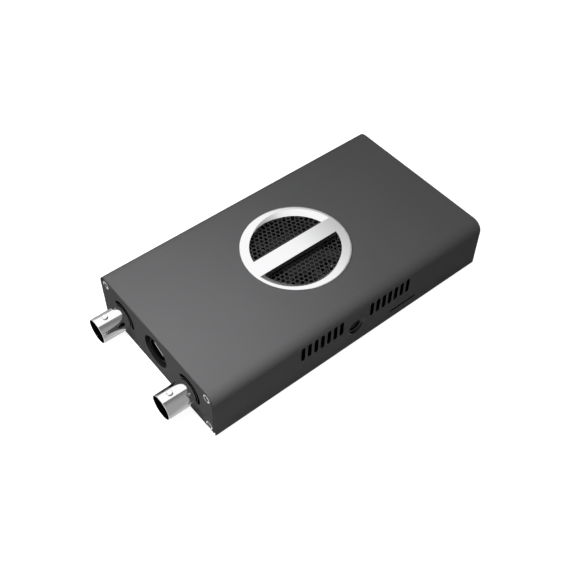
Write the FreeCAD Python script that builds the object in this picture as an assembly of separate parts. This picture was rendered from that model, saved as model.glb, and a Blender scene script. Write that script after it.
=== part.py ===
import FreeCAD, Part
import math
import os
from FreeCAD import Vector

# A small video encoder: an aluminium sleeve closed by two end plates, with a fan under a round grille.
# The origin is the middle of the underside. +Y runs to the rear, +X to the right side, +Z up.
# Every size is in millimetres.

# Housing sleeve
body_width = 69.0
body_length = 125.0
body_height = 22.0
wall = 1.6
top_corner_r = 4.3
bottom_corner_r = 0.8
end_lip = 0.5
inner_corner_r = 0.3

# End plates and their countersunk screws
plate_thick = 1.6
plate_gap = 0.15
plate_screw_r = 1.0
plate_head_r = 1.75
plate_head_depth = 0.9
plate_screw_length = 7.0
plate_screw_side_inset = 3.8
plate_screw_top_inset = 3.4
plate_screw_bottom_inset = 2.4
boss_r = 2.2
boss_length = 9.0
thread_gap = 0.04
hole_spare = 0.5
head_gap = 0.1
fastener_sides = 16
hexagon_sides = 6

# Side vents, in two groups on each side
vent_count = 7
vent_pitch = 2.92
vent_width = 1.7
vent_length = 6.9
vent_middle_z = 14.2
vent_first_y = 7.2

# Camera-thread bush in the right side
tripod_z = 9.4
tripod_thread_r = 3.175
tripod_chamfer = 0.35
tripod_body_r = 4.3
tripod_flange_r = 5.6
tripod_flange_thick = 0.8
tripod_depth = 8.0

# Round grille: ring, bar and honeycomb mesh
ring_outer_r = 20.6
ring_rim_width = 1.7
ring_inner_r = 16.95
ring_proud = 0.8
ring_edge = 0.35
ring_slope_drop = 1.5
spigot_r = 19.2
spigot_gap = 0.1
bar_width = 6.9
bar_thick = 2.3
mesh_recess = 1.9
mesh_thick = 0.4
mesh_pitch = 1.91
mesh_web = 0.45
mesh_margin = 0.25

# Fan
fan_size = 40.0
fan_thick = 7.0
fan_corner_r = 3.0
fan_hole_pitch = 32.0
fan_bore_r = 18.4
fan_tip_gap = 0.5
fan_floor_thick = 1.0
fan_floor_r = 9.6
strut_width = 1.8
strut_count = 4
hub_r = 10.2
hub_wall = 0.9
hub_top_gap = 0.4
hub_floor_gap = 0.6
blade_count = 7
blade_thick = 0.8
blade_camber = 0.9
blade_pitch = 40.0
blade_inset = 0.25
shaft_r = 1.0
shaft_gap = 0.03
bearing_r = 2.2
bearing_tube_wall = 0.9
bearing_floor = 0.5
bearing_top_gap = 0.5
shaft_end_gap = 0.3
magnet_thick = 0.7
magnet_gap = 0.4
stator_height = 2.6
stator_ring_wall = 1.0
stator_arm_width = 1.8
stator_shoe_thick = 1.0
stator_shoe_angle = 66.0
coil_thick = 0.7
coil_gap = 0.3
fan_screw_r = 1.2
fan_head_r = 2.1
fan_head_depth = 0.8
fan_screw_grip = 3.5

# Main board on its spacers, held by screws from underneath
spacer_height = 1.0
spacer_r = 2.6
board_thick = 1.6
board_side_gap = 0.6
board_end_gap = 0.6
board_boss_gap = 0.4
board_screw_r = 1.25
board_head_r = 2.2
board_head_depth = 1.0
board_nut_r = 2.4
board_nut_height = 2.0
board_screw_side_inset = 3.0
board_screw_card_gap = 3.8
sink_head = 0.1

# Heatsink on the processor
chip_size = 23.0
chip_thick = 1.4
pad_thick = 0.4
sink_size = 42.0
sink_base_thick = 1.4
fin_thick = 0.9
fin_pitch = 2.56
leg_size = 3.8
leg_offset = 17.5
leg_screw_r = 0.9
leg_head_r = 1.7
leg_head_height = 0.75
leg_screw_grip = 2.6

# Coaxial jacks on the front
jack_axis_z = 11.5
bnc_spacing = 40.2
bnc_barrel_r = 4.8
bnc_barrel_length = 11.3
bnc_bore_r = 4.15
bnc_bore_depth = 5.2
bnc_mouth_chamfer = 0.25
bnc_hole_gap = 0.06
bnc_insulator_r = 3.2
bnc_contact_r = 0.95
bnc_contact_bore_r = 0.5
bnc_contact_slot = 0.3
bnc_contact_bore_depth = 4.0
bnc_contact_slot_depth = 3.0
bnc_tail_r = 4.2
bnc_tail_length = 3.0
bnc_lug_r = 0.95
bnc_lug_tip_r = 5.45
bnc_lug_from_plate = 7.2
bnc_base_width = 13.2
bnc_base_length = 13.0
bnc_base_top = 6.3
bnc_base_gap = 1.0
socket_corner_r = 0.8

# Light guides: dark arcs beside the jacks
guide_mid_r = 5.6
guide_width = 0.7
guide_from_angle = -22.0
guide_to_angle = 142.0
guide_gap = 0.04

# Round multi-pin socket between the jacks
din_hole_r = 6.6
din_nose_gap = 0.12
din_nose_recess = 1.1
din_cavity_r = 4.85
din_cavity_depth = 8.0
din_shield_thick = 0.3
din_insert_r = 3.75
din_insert_recess = 0.7
din_pin_r = 0.45
din_pin_depth = 3.0
din_pin_pitch = 1.9
din_lower_spread = 1.6
din_key_width = 1.1
din_key_height = 1.3
din_root_thick = 1.5
din_body_width = 14.0
din_body_length = 12.5
din_body_top = 6.6

# Network socket on the rear
rj_x = -14.0
rj_width = 16.0
rj_height = 13.4
rj_length = 21.0
rj_shield_thick = 0.3
rj_cut_gap = 0.15
rj_plug_width = 11.8
rj_plug_height = 6.8
rj_plug_depth = 14.0
rj_plug_base = 3.9
rj_latch_width = 6.2
rj_latch_height = 1.7
rj_contact_count = 8
rj_contact_pitch = 1.02
rj_contact_width = 0.45
rj_contact_thick = 0.35
rj_contact_start = 3.2
rj_contact_drop = 1.6

# Power socket of the small flat kind on the rear
usb_x = 10.0
usb_width = 7.8
usb_height = 2.9
usb_length = 5.8
usb_recess = 0.2
usb_shell_thick = 0.3
usb_corner_r = 0.7
usb_cut_gap = 0.25
usb_tongue_width = 3.9
usb_tongue_thick = 0.7
usb_tongue_recess = 1.1
usb_back_thick = 1.2

# Status lights on the rear
pipe_count = 3
pipe_pitch = 3.6
pipe_x = 10.0
pipe_z = 13.4
pipe_r = 0.9
pipe_gap = 0.05
pipe_thick = 1.6
pipe_reach = 7.4
led_size = 1.8
led_height = 0.7

# Recessed reset button on the rear
reset_x = 23.0
reset_z = 8.2
reset_cap_r = 1.35
reset_hole_gap = 0.3
reset_recess = 0.5
reset_cap_length = 4.0
reset_stem_r = 0.8
reset_stem_gap = 0.05
reset_stem_length = 3.0
reset_travel = 0.5
reset_end_gap = 0.15
switch_width = 6.0
switch_length = 5.2
switch_rise = 2.3

# Memory card slot low in the right side
card_y = 23.5
card_slot_length = 13.0
card_slot_height = 0.9
card_socket_width = 14.6
card_socket_length = 12.0
card_socket_height = 1.5
card_cavity_width = 11.4
card_cavity_depth = 9.0

# Larger components on the board
memory_width = 9.0
memory_length = 12.0
memory_height = 1.0
memory_spacing = 13.0
memory_gap = 2.5
network_size = 9.0
network_height = 1.1
network_gap = 1.5
transformer_width = 12.5
transformer_length = 9.5
transformer_height = 8.0
transformer_gap = 2.5
inductor_size = 6.6
inductor_height = 3.2
inductor_corner = 1.2
inductor_pitch = 8.2
inductor_x = 3.5
inductor_gap = 2.0
inductor_count = 3
capacitor_r = 2.6
capacitor_height = 5.4
capacitor_pitch = 6.4
capacitor_gap = 1.6
header_width = 4.2
header_length = 8.0
header_height = 4.6
header_wall = 0.6
header_floor = 1.0
header_gap = 2.2
header_y = 12.0
lead_thick = 1.0
lead_width = 4.0
lead_height = 3.0

# Levels and faces worked out from the sizes above
front_face = -body_length / 2
rear_face = body_length / 2
front_inside = front_face + plate_thick
rear_inside = rear_face - plate_thick
inner_x = body_width / 2 - wall
board_bottom = wall + spacer_height
board_top = board_bottom + board_thick
board_front = front_inside + board_end_gap
board_rear = rear_inside - board_end_gap
board_edge_x = inner_x - board_side_gap
screw_x = body_width / 2 - plate_screw_side_inset
screw_top_z = body_height - plate_screw_top_inset
ring_top_z = body_height + ring_proud
mesh_top_z = body_height - mesh_recess
fan_top_z = mesh_top_z - mesh_thick
fan_bottom_z = fan_top_z - fan_thick
fan_floor_z = fan_bottom_z + fan_floor_thick
hub_top_z = fan_top_z - hub_top_gap
hub_bottom_z = fan_floor_z + hub_floor_gap
chip_top = board_top + chip_thick
sink_bottom = chip_top + pad_thick
sink_base_top = sink_bottom + sink_base_thick
jack_base_front = front_inside + bnc_base_gap
card_z = board_top + card_socket_height / 2

# How far a cutter runs past the face that it opens
spill = 2.0


def block(x0, x1, y0, y1, z0, z1):
    """A block between two opposite corners."""
    return Part.makeBox(x1 - x0, y1 - y0, z1 - z0, Vector(x0, y0, z0))


def standing_block(x, y, width, length, bottom, top):
    """A block centred on x and y, from one level to another."""
    return block(x - width / 2, x + width / 2, y - length / 2, y + length / 2, bottom, top)


def post(x, y, r, bottom, top):
    """An upright cylinder."""
    return Part.makeCylinder(r, top - bottom, Vector(x, y, bottom))


def rod_y(x, z, r, y0, y1):
    """A cylinder along Y."""
    return Part.makeCylinder(r, y1 - y0, Vector(x, y0, z), Vector(0, 1, 0))


def rod_x(x, y, z, r, length):
    """A cylinder along X, from its left end."""
    return Part.makeCylinder(r, length, Vector(x, y, z), Vector(1, 0, 0))


def fuse_all(shapes):
    """All the shapes as one solid, with no seams left in flat faces."""
    return shapes[0].fuse(shapes[1:]).removeSplitter()


def solid_of(shape):
    """The single solid in a shape."""
    return shape.Solids[0]


def edges_along(shape, way):
    """The straight edges of a block that run along a direction."""
    return [e for e in shape.Edges if abs(e.tangentAt(e.FirstParameter).dot(way)) > 0.99]


def corner_arc(x, z, r, start, y):
    """A quarter arc in an upright plane, from a start angle in degrees."""
    turns = [math.radians(start + step) for step in (0, 45, 90)]
    points = [Vector(x + r * math.cos(t), y, z + r * math.sin(t)) for t in turns]
    return Part.Arc(*points).toShape()


def joined(corners):
    """A closed wire through edges, with straight lines between them."""
    edges = []
    for corner, following in zip(corners, corners[1:] + corners[:1]):
        edges.append(corner)
        edges.append(Part.makeLine(corner.Vertexes[-1].Point, following.Vertexes[0].Point))
    return Part.Wire(edges)


def upright_outline(half_width, bottom, top, top_r, bottom_r, y):
    """An outline across the housing, with its own radius for the top and the bottom corners."""
    top_x = half_width - top_r
    bottom_x = half_width - bottom_r
    return joined([
        corner_arc(top_x, top - top_r, top_r, 0, y),
        corner_arc(-top_x, top - top_r, top_r, 90, y),
        corner_arc(-bottom_x, bottom + bottom_r, bottom_r, 180, y),
        corner_arc(bottom_x, bottom + bottom_r, bottom_r, 270, y),
    ])


def pushed(wire, length):
    """A closed wire made solid along +Y."""
    return Part.Face(wire).extrude(Vector(0, length, 0))


def rounded_bar_y(x, z, width, height, r, y0, y1):
    """A bar along Y with four round long edges."""
    wire = upright_outline(width / 2, z - height / 2, z + height / 2, r, r, y0)
    wire.translate(Vector(x, 0, 0))
    return pushed(wire, y1 - y0)


def turned(points, x, y):
    """A solid turned about the upright line at x and y, from radius and height pairs."""
    corners = [Vector(x + r, y, z) for r, z in points]
    wire = Part.makePolygon(corners + corners[:1])
    return Part.Face(wire).revolve(Vector(x, y, 0), Vector(0, 0, 1), 360)


def turned_y(points, x, z):
    """A solid turned about the level line at x and z, from radius and y pairs."""
    corners = [Vector(x + r, y, z) for r, y in points]
    wire = Part.makePolygon(corners + corners[:1])
    return Part.Face(wire).revolve(Vector(x, 0, z), Vector(0, 1, 0), 360)


def ring_points(centre, along, r, sides):
    """The corners of a many-sided ring about a line."""
    first = Vector(1, 0, 0) if abs(along.x) < 0.5 else Vector(0, 1, 0)
    second = along.cross(first)
    turns = [math.tau * k / sides for k in range(sides)]
    return [centre + first * (r * math.cos(t)) + second * (r * math.sin(t)) for t in turns]


def sided(points, place, along, sides=fastener_sides):
    """A small round piece made many-sided, from radius and level pairs about a line."""
    rings = [ring_points(place + along * level, along, r, sides) for r, level in points]
    faces = []
    for lower, upper in zip(rings, rings[1:]):
        for k in range(sides):
            near = (k + 1) % sides
            quad = [lower[k], lower[near], upper[near], upper[k]]
            faces.append(Part.Face(Part.makePolygon(quad + quad[:1])))
    for ring in (rings[0], rings[-1]):
        faces.append(Part.Face(Part.makePolygon(ring + ring[:1])))
    solid = Part.Solid(Part.Shell(faces))
    if solid.Volume < 0:
        solid.reverse()
    return solid.removeSplitter()


def sided_post(x, y, r, bottom, top, sides=fastener_sides):
    """An upright many-sided rod."""
    return sided([(r, bottom), (r, top)], Vector(x, y, 0), Vector(0, 0, 1), sides)


def sided_rod_y(x, z, r, y0, y1, sides=fastener_sides):
    """A many-sided rod along Y."""
    return sided([(r, y0), (r, y1)], Vector(x, 0, z), Vector(0, 1, 0), sides)


def plate_screw_places():
    """The x and z of each end-plate screw."""
    levels = (plate_screw_bottom_inset, screw_top_z)
    return [(side * screw_x, z) for side in (-1, 1) for z in levels]


def board_screw_places():
    """The x and y of each screw through the board, clear of the card socket."""
    x = board_edge_x - board_screw_side_inset
    y = card_y + card_socket_width / 2 + board_screw_card_gap + board_nut_r
    return [(side * x, end * y) for side in (-1, 1) for end in (-1, 1)]


def leg_places():
    """The x and y of each heatsink leg."""
    return [(leg_offset, 0), (-leg_offset, 0), (0, leg_offset), (0, -leg_offset)]


def fan_screw_places():
    """The x and y of each fan screw."""
    half = fan_hole_pitch / 2
    return [(x, y) for x in (-half, half) for y in (-half, half)]


def vent_slot(y):
    """A cutter for one upright slot with round ends, through both side walls."""
    r = vent_width / 2
    half = vent_length / 2 - r
    low = vent_middle_z - half
    high = vent_middle_z + half
    start = -body_width / 2 - spill
    span = body_width + 2 * spill
    middle = block(start, start + span, y - r, y + r, low, high)
    return fuse_all([middle] + [rod_x(start, y, z, r, span) for z in (low, high)])


def corner_boss(x, z, end):
    """A screw boss that fills a corner of the sleeve, behind one end plate."""
    near = screw_x - boss_r
    far = body_width / 2 - wall / 2
    low = wall / 2 if z < body_height / 2 else z - boss_r
    high = z + boss_r if z < body_height / 2 else body_height - wall / 2
    inner_y = body_length / 2 - plate_thick - boss_length
    outer_y = body_length / 2 - plate_thick
    boss = block(near, far, inner_y, outer_y, low, high)
    if x < 0:
        boss = boss.mirror(Vector(0, 0, 0), Vector(1, 0, 0))
    if end < 0:
        boss = boss.mirror(Vector(0, 0, 0), Vector(0, 1, 0))
    return boss


def make_sleeve():
    """The housing tube: vents, grille hole, thread bush seat, card slot, bosses and rebated ends."""
    half = body_width / 2
    outer_wire = upright_outline(half, 0, body_height, top_corner_r, bottom_corner_r, front_face)
    outer = pushed(outer_wire, body_length)
    inner_r = max(top_corner_r - wall, inner_corner_r)
    inner_top = body_height - wall
    inner_wire = upright_outline(inner_x, wall, inner_top, inner_r, inner_corner_r, front_face - spill)
    tube = outer.cut(pushed(inner_wire, body_length + 2 * spill))
    bosses = []
    for x, z in plate_screw_places():
        for end in (-1, 1):
            bosses.append(corner_boss(x, z, end).common(outer))
    tube = tube.fuse(bosses)
    rebate_top = body_height - end_lip
    rebate_r = max(top_corner_r - end_lip, inner_corner_r)
    for y in (front_face - spill, rear_inside):
        wire = upright_outline(half - end_lip, -spill, rebate_top, rebate_r, inner_corner_r, y)
        tube = tube.cut(pushed(wire, plate_thick + spill))
    cutters = []
    reach = plate_screw_length + hole_spare
    for x, z in plate_screw_places():
        cutters.append(sided_rod_y(x, z, plate_screw_r + thread_gap, front_face, front_face + reach))
        cutters.append(sided_rod_y(x, z, plate_screw_r + thread_gap, rear_face - reach, rear_face))
    for step in range(vent_count):
        place = vent_first_y + step * vent_pitch
        cutters += [vent_slot(place), vent_slot(-place)]
    cutters.append(post(0, 0, spigot_r + spigot_gap, inner_top - spill, body_height + spill))
    start = inner_x - spill
    through = wall + 2 * spill
    cutters.append(rod_x(start, 0, tripod_z, tripod_body_r, through))
    cutters.append(rod_x(half - tripod_flange_thick, 0, tripod_z, tripod_flange_r, spill))
    slot_r = card_slot_height / 2
    slot_y = card_slot_length / 2 - slot_r
    low = card_z - slot_r
    ends = (card_y - slot_y, card_y + slot_y)
    cutters.append(block(start, start + through, ends[0], ends[1], low, low + card_slot_height))
    for y in ends:
        cutters.append(rod_x(start, y, card_z, slot_r, through))
    for x, y in board_screw_places():
        cutters.append(board_screw_cutter(x, y))
    return solid_of(tube.cut(cutters).removeSplitter())


def board_screw_cutter(x, y):
    """The countersunk hole for one board screw in the underside."""
    r = board_screw_r + thread_gap
    head_r = board_head_r + thread_gap
    cone_end = sink_head + board_head_depth
    top = wall + spill
    points = [(head_r, -spill), (head_r, sink_head), (r, cone_end), (r, top)]
    return sided(points, Vector(x, y, 0), Vector(0, 0, 1))


def plate_blank(face, inside):
    """An end plate before its cut-outs, between two y levels."""
    low = min(face, inside)
    half = body_width / 2 - end_lip - plate_gap
    top = body_height - end_lip - plate_gap
    top_r = max(top_corner_r - end_lip - plate_gap, inner_corner_r)
    wire = upright_outline(half, plate_gap, top, top_r, bottom_corner_r, low)
    plate = pushed(wire, plate_thick)
    outward = 1 if face > inside else -1
    cutters = [countersink(x, z, face, outward) for x, z in plate_screw_places()]
    return plate.cut(cutters)


def countersink(x, z, face, outward):
    """A countersunk hole through an end plate."""
    r = plate_screw_r + thread_gap
    head_r = plate_head_r + thread_gap
    deep = face - outward * plate_head_depth
    back = face - outward * (plate_thick + spill)
    front = face + outward * spill
    points = [(head_r, front), (head_r, face), (r, deep), (r, back)]
    return sided(points, Vector(x, 0, z), Vector(0, 1, 0))


def arc_slot(x, width, y0, y1):
    """A curved slot with round ends about a jack's axis, as a solid between two y levels."""
    inner = guide_mid_r - width / 2
    outer = guide_mid_r + width / 2
    start = math.radians(guide_from_angle)
    end = math.radians(guide_to_angle)
    mid = (start + end) / 2

    def at(r, angle):
        return Vector(x + r * math.cos(angle), y0, jack_axis_z + r * math.sin(angle))

    def cap(angle, way):
        tip = Vector(-math.sin(angle), 0, math.cos(angle)) * (way * width / 2)
        return at(guide_mid_r, angle) + tip

    edges = [
        Part.Arc(at(outer, start), at(outer, mid), at(outer, end)).toShape(),
        Part.Arc(at(outer, end), cap(end, 1), at(inner, end)).toShape(),
        Part.Arc(at(inner, end), at(inner, mid), at(inner, start)).toShape(),
        Part.Arc(at(inner, start), cap(start, -1), at(outer, start)).toShape(),
    ]
    return pushed(Part.Wire(edges), y1 - y0)


def make_front_plate():
    """The front end plate with the holes for the jacks, the light guides and the round socket."""
    plate = plate_blank(front_face, front_inside)
    low = front_face - spill
    high = front_inside + spill
    cutters = [rod_y(0, jack_axis_z, din_hole_r, low, high)]
    for side in (-1, 1):
        x = side * bnc_spacing / 2
        cutters.append(rod_y(x, jack_axis_z, bnc_barrel_r + bnc_hole_gap, low, high))
        cutters.append(arc_slot(x, guide_width, low, high))
    return solid_of(plate.cut(cutters))


def make_rear_plate():
    """The rear end plate with the holes for the sockets, the lights and the button."""
    plate = plate_blank(rear_face, rear_inside)
    low = rear_inside - spill
    high = rear_face + spill
    half = rj_width / 2 + rj_cut_gap
    rj_top = board_top + rj_height + rj_cut_gap
    cutters = [block(rj_x - half, rj_x + half, low, high, board_top - rj_cut_gap, rj_top)]
    usb_z = board_top + usb_height / 2
    usb_r = usb_corner_r + usb_cut_gap
    usb_cut = (usb_width + 2 * usb_cut_gap, usb_height + 2 * usb_cut_gap)
    cutters.append(rounded_bar_y(usb_x, usb_z, usb_cut[0], usb_cut[1], usb_r, low, high))
    for x in pipe_places():
        cutters.append(rod_y(x, pipe_z, pipe_r + pipe_gap, low, high))
    cutters.append(rod_y(reset_x, reset_z, reset_cap_r + reset_hole_gap, low, high))
    return solid_of(plate.cut(cutters))


def make_plate_screw(x, z, face, outward):
    """One countersunk screw along Y."""
    deep = face - outward * plate_head_depth
    tip = face - outward * plate_screw_length
    points = [(plate_head_r, face), (plate_screw_r, deep), (plate_screw_r, tip)]
    return sided(points, Vector(x, 0, z), Vector(0, 1, 0))


def make_plate_screws(face, outward):
    """The four screws of one end plate."""
    return Part.makeCompound([make_plate_screw(x, z, face, outward) for x, z in plate_screw_places()])


def make_tripod_insert():
    """The threaded bush: a flange flush with the side and a body that reaches inward."""
    outer = body_width / 2
    flange = outer - tripod_flange_thick
    inner = outer - tripod_depth
    mouth = tripod_thread_r + tripod_chamfer
    points = [(tripod_thread_r, inner), (tripod_body_r, inner), (tripod_body_r, flange),
              (tripod_flange_r, flange), (tripod_flange_r, outer), (mouth, outer),
              (tripod_thread_r, outer - tripod_chamfer)]
    corners = [Vector(x, 0, tripod_z + r) for r, x in points]
    face = Part.Face(Part.makePolygon(corners + corners[:1]))
    return face.revolve(Vector(0, 0, tripod_z), Vector(1, 0, 0), 360)


def make_grille_ring():
    """The bright ring with its sloping inner side, and the level bar across it."""
    rim_r = ring_outer_r - ring_rim_width
    slope_z = ring_top_z - ring_slope_drop
    points = [(ring_outer_r - ring_edge, ring_top_z), (ring_outer_r, ring_top_z - ring_edge),
              (ring_outer_r, body_height), (spigot_r, body_height), (spigot_r, mesh_top_z),
              (ring_inner_r, mesh_top_z), (ring_inner_r, slope_z), (rim_r, ring_top_z)]
    ring = turned(points, 0, 0)
    bar = block(-bar_width / 2, bar_width / 2, -rim_r, rim_r, ring_top_z - bar_thick, ring_top_z)
    bar = bar.common(post(0, 0, rim_r, 0, ring_top_z + spill))
    return solid_of(fuse_all([ring, bar]))


def hexagon(x, y, r, z):
    """A closed six-sided wire with a point towards +X."""
    turns = [math.radians(60 * k) for k in range(7)]
    return Part.makePolygon([Vector(x + r * math.cos(t), y + r * math.sin(t), z) for t in turns])


def make_grille_mesh():
    """A round sheet with honeycomb holes wherever the ring and the bar leave it open."""
    hole_r = (mesh_pitch - mesh_web) / math.sqrt(3)
    column_step = mesh_pitch * math.sqrt(3) / 2
    reach = ring_inner_r - mesh_margin - hole_r
    z = mesh_top_z - mesh_thick
    wires = [Part.Wire(Part.makeCircle(spigot_r, Vector(0, 0, z)))]
    columns = int(reach / column_step)
    rows = int(reach / mesh_pitch) + 1
    for column in range(-columns, columns + 1):
        x = column * column_step
        shift = mesh_pitch / 2 if column % 2 else 0
        for row in range(-rows, rows + 1):
            y = row * mesh_pitch + shift
            open_here = abs(x) - hole_r > bar_width / 2 and math.hypot(x, y) < reach
            if open_here:
                wires.append(hexagon(x, y, hole_r, z))
    sheet = Part.makeFace(wires, "Part::FaceMakerBullseye")
    return solid_of(sheet.extrude(Vector(0, 0, mesh_thick)))


def make_fan_frame():
    """The square fan housing with its round duct, motor floor, struts and bearing tube."""
    half = fan_size / 2
    case = block(-half, half, -half, half, fan_bottom_z, fan_top_z)
    case = case.makeFillet(fan_corner_r, edges_along(case, Vector(0, 0, 1)))
    case = case.cut(post(0, 0, fan_bore_r, fan_bottom_z - spill, fan_top_z + spill))
    pieces = [post(0, 0, fan_floor_r, fan_bottom_z, fan_floor_z)]
    for k in range(strut_count):
        end = (fan_bore_r + half) / 2
        strut = block(0, end, -strut_width / 2, strut_width / 2, fan_bottom_z, fan_floor_z)
        strut.rotate(Vector(0, 0, 0), Vector(0, 0, 1), 360.0 * k / strut_count)
        pieces.append(strut)
    pieces.append(post(0, 0, bearing_r + bearing_tube_wall, fan_bottom_z, bearing_top()))
    frame = fuse_all([case] + pieces)
    cutters = [post(0, 0, bearing_r, fan_bottom_z + bearing_floor, fan_top_z)]
    for x, y in fan_screw_places():
        low = fan_bottom_z - spill
        high = fan_top_z + spill
        cutters.append(sided_post(x, y, fan_screw_r + thread_gap, low, high))
        cutters.append(sided_post(x, y, fan_head_r + head_gap, fan_top_z - fan_head_depth, high))
    return solid_of(frame.cut(cutters))


def bearing_top():
    """The level of the top of the bearing, just under the hub's roof."""
    return hub_top_z - hub_wall - bearing_top_gap


def make_fan_bearing():
    """The sleeve bearing in the frame's tube."""
    bush = post(0, 0, bearing_r, fan_bottom_z + bearing_floor, bearing_top())
    return bush.cut(post(0, 0, shaft_r + shaft_gap, fan_bottom_z, fan_top_z))


def make_fan_shaft():
    """The shaft, from the bearing floor up into the hub's roof."""
    return post(0, 0, shaft_r, fan_bottom_z + bearing_floor + shaft_end_gap, hub_top_z - hub_wall / 2)


def blade_section(radius, chord):
    """A thin cambered section, square to the radius and tilted by the blade's pitch."""
    half = chord / 2
    t = blade_thick / 2
    tilt = math.radians(blade_pitch)
    middle_z = (hub_top_z + hub_bottom_z) / 2

    def at(along, up):
        y = along * math.cos(tilt) - up * math.sin(tilt)
        z = along * math.sin(tilt) + up * math.cos(tilt)
        return Vector(radius, y, middle_z + z)

    upper = Part.Arc(at(-half, t), at(0, t + blade_camber), at(half, t)).toShape()
    lower = Part.Arc(at(half, -t), at(0, -t + blade_camber), at(-half, -t)).toShape()
    nose = Part.makeLine(at(half, t), at(half, -t))
    tail = Part.makeLine(at(-half, -t), at(-half, t))
    return Part.Wire([upper, nose, lower, tail])


def make_fan_rotor():
    """The hub cup with its tilted, cambered blades."""
    height = hub_top_z - hub_bottom_z - 2 * blade_inset - blade_thick
    chord = height / math.sin(math.radians(blade_pitch)) - blade_camber
    tip_r = fan_bore_r - fan_tip_gap
    root_r = hub_r - hub_wall / 2
    section = Part.Face(blade_section(root_r, chord))
    blade = section.extrude(Vector(tip_r - root_r + spill, 0, 0))
    blade = blade.common(post(0, 0, tip_r, hub_bottom_z + blade_inset, hub_top_z - blade_inset))
    cup = post(0, 0, hub_r, hub_bottom_z, hub_top_z)
    blades = []
    for k in range(blade_count):
        copy = blade.copy()
        copy.rotate(Vector(0, 0, 0), Vector(0, 0, 1), 360.0 * k / blade_count)
        blades.append(copy)
    rotor = cup.fuse(blades)
    rotor = rotor.cut(post(0, 0, hub_r - hub_wall, hub_bottom_z - spill, hub_top_z - hub_wall))
    return solid_of(rotor.cut(post(0, 0, shaft_r, hub_bottom_z, hub_top_z - hub_wall / 2)))


def make_fan_magnet():
    """The ring magnet inside the hub cup."""
    outer = post(0, 0, hub_r - hub_wall, hub_bottom_z, hub_top_z - hub_wall)
    return outer.cut(post(0, 0, hub_r - hub_wall - magnet_thick, hub_bottom_z - spill, hub_top_z))


def stator_levels():
    """The bottom and top of the stator, in the middle of the room inside the hub."""
    middle = (fan_floor_z + hub_top_z - hub_wall) / 2
    return middle - stator_height / 2, middle + stator_height / 2


def make_fan_stator():
    """The stator core: a ring on the bearing tube, four arms and their curved shoes."""
    low, high = stator_levels()
    tube_r = bearing_r + bearing_tube_wall
    outer_r = hub_r - hub_wall - magnet_thick - magnet_gap
    core = post(0, 0, tube_r + stator_ring_wall, low, high)
    arms = []
    for k in range(4):
        arm_end = outer_r - stator_shoe_thick / 2
        arm = block(0, arm_end, -stator_arm_width / 2, stator_arm_width / 2, low, high)
        start = Vector(0, 0, low)
        upward = Vector(0, 0, 1)
        shoe = Part.makeCylinder(outer_r, high - low, start, upward, stator_shoe_angle)
        shoe = shoe.cut(post(0, 0, outer_r - stator_shoe_thick, low - spill, high + spill))
        shoe.rotate(start, upward, -stator_shoe_angle / 2)
        both = arm.fuse(shoe)
        both.rotate(start, upward, 90 * k)
        arms.append(both)
    core = fuse_all([core] + arms)
    return solid_of(core.cut(post(0, 0, tube_r, low - spill, high + spill)))


def make_fan_coils():
    """The four windings, one round each arm of the stator."""
    low, high = stator_levels()
    inner = bearing_r + bearing_tube_wall + stator_ring_wall + coil_gap
    outer = hub_r - hub_wall - magnet_thick - magnet_gap - stator_shoe_thick - coil_gap
    half = stator_arm_width / 2
    side = half + coil_thick
    coils = []
    for k in range(4):
        coil = block(inner, outer, -side, side, low - coil_thick, high + coil_thick)
        coil = coil.cut(block(inner - spill, outer + spill, -half, half, low, high))
        coil.rotate(Vector(0, 0, 0), Vector(0, 0, 1), 90 * k)
        coils.append(coil)
    return Part.makeCompound(coils)


def make_fan_screws():
    """Four flat-headed screws through the fan frame into the heatsink."""
    screws = []
    for x, y in fan_screw_places():
        head_bottom = fan_top_z - fan_head_depth
        tip = fan_bottom_z - fan_screw_grip
        points = [(fan_screw_r, tip), (fan_screw_r, head_bottom), (fan_head_r, head_bottom),
                  (fan_head_r, fan_top_z)]
        screws.append(sided(points, Vector(x, y, 0), Vector(0, 0, 1)))
    return Part.makeCompound(screws)


def make_heatsink():
    """The finned heatsink: base, fins along X, columns for the fan screws and legs to the board."""
    half = sink_size / 2
    base = block(-half, half, -half, half, sink_bottom, sink_base_top)
    count = int((sink_size - fin_thick) / fin_pitch)
    pieces = []
    for k in range(count + 1):
        y = (k - count / 2) * fin_pitch
        pieces.append(standing_block(0, y, sink_size, fin_thick, sink_base_top, fan_bottom_z))
    for x, y in fan_screw_places():
        column = 2 * fan_head_r
        pieces.append(standing_block(x, y, column, column, sink_base_top, fan_bottom_z))
    for x, y in leg_places():
        pieces.append(standing_block(x, y, leg_size, leg_size, board_top, sink_bottom))
    sink = fuse_all([base] + pieces)
    cutters = []
    hole_end = fan_bottom_z - fan_screw_grip - hole_spare
    for x, y in fan_screw_places():
        cutters.append(sided_post(x, y, fan_screw_r + thread_gap, hole_end, fan_bottom_z + spill))
    hole_end = board_top + leg_screw_grip + hole_spare
    for x, y in leg_places():
        cutters.append(sided_post(x, y, leg_screw_r + thread_gap, board_top - spill, hole_end))
    return solid_of(sink.cut(cutters))


def make_heatsink_screws():
    """Four screws from under the board into the heatsink's legs."""
    screws = []
    for x, y in leg_places():
        head_bottom = board_bottom - leg_head_height
        points = [(leg_head_r, head_bottom), (leg_head_r, board_bottom), (leg_screw_r, board_bottom),
                  (leg_screw_r, board_top + leg_screw_grip)]
        screws.append(sided(points, Vector(x, y, 0), Vector(0, 0, 1)))
    return Part.makeCompound(screws)


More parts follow.
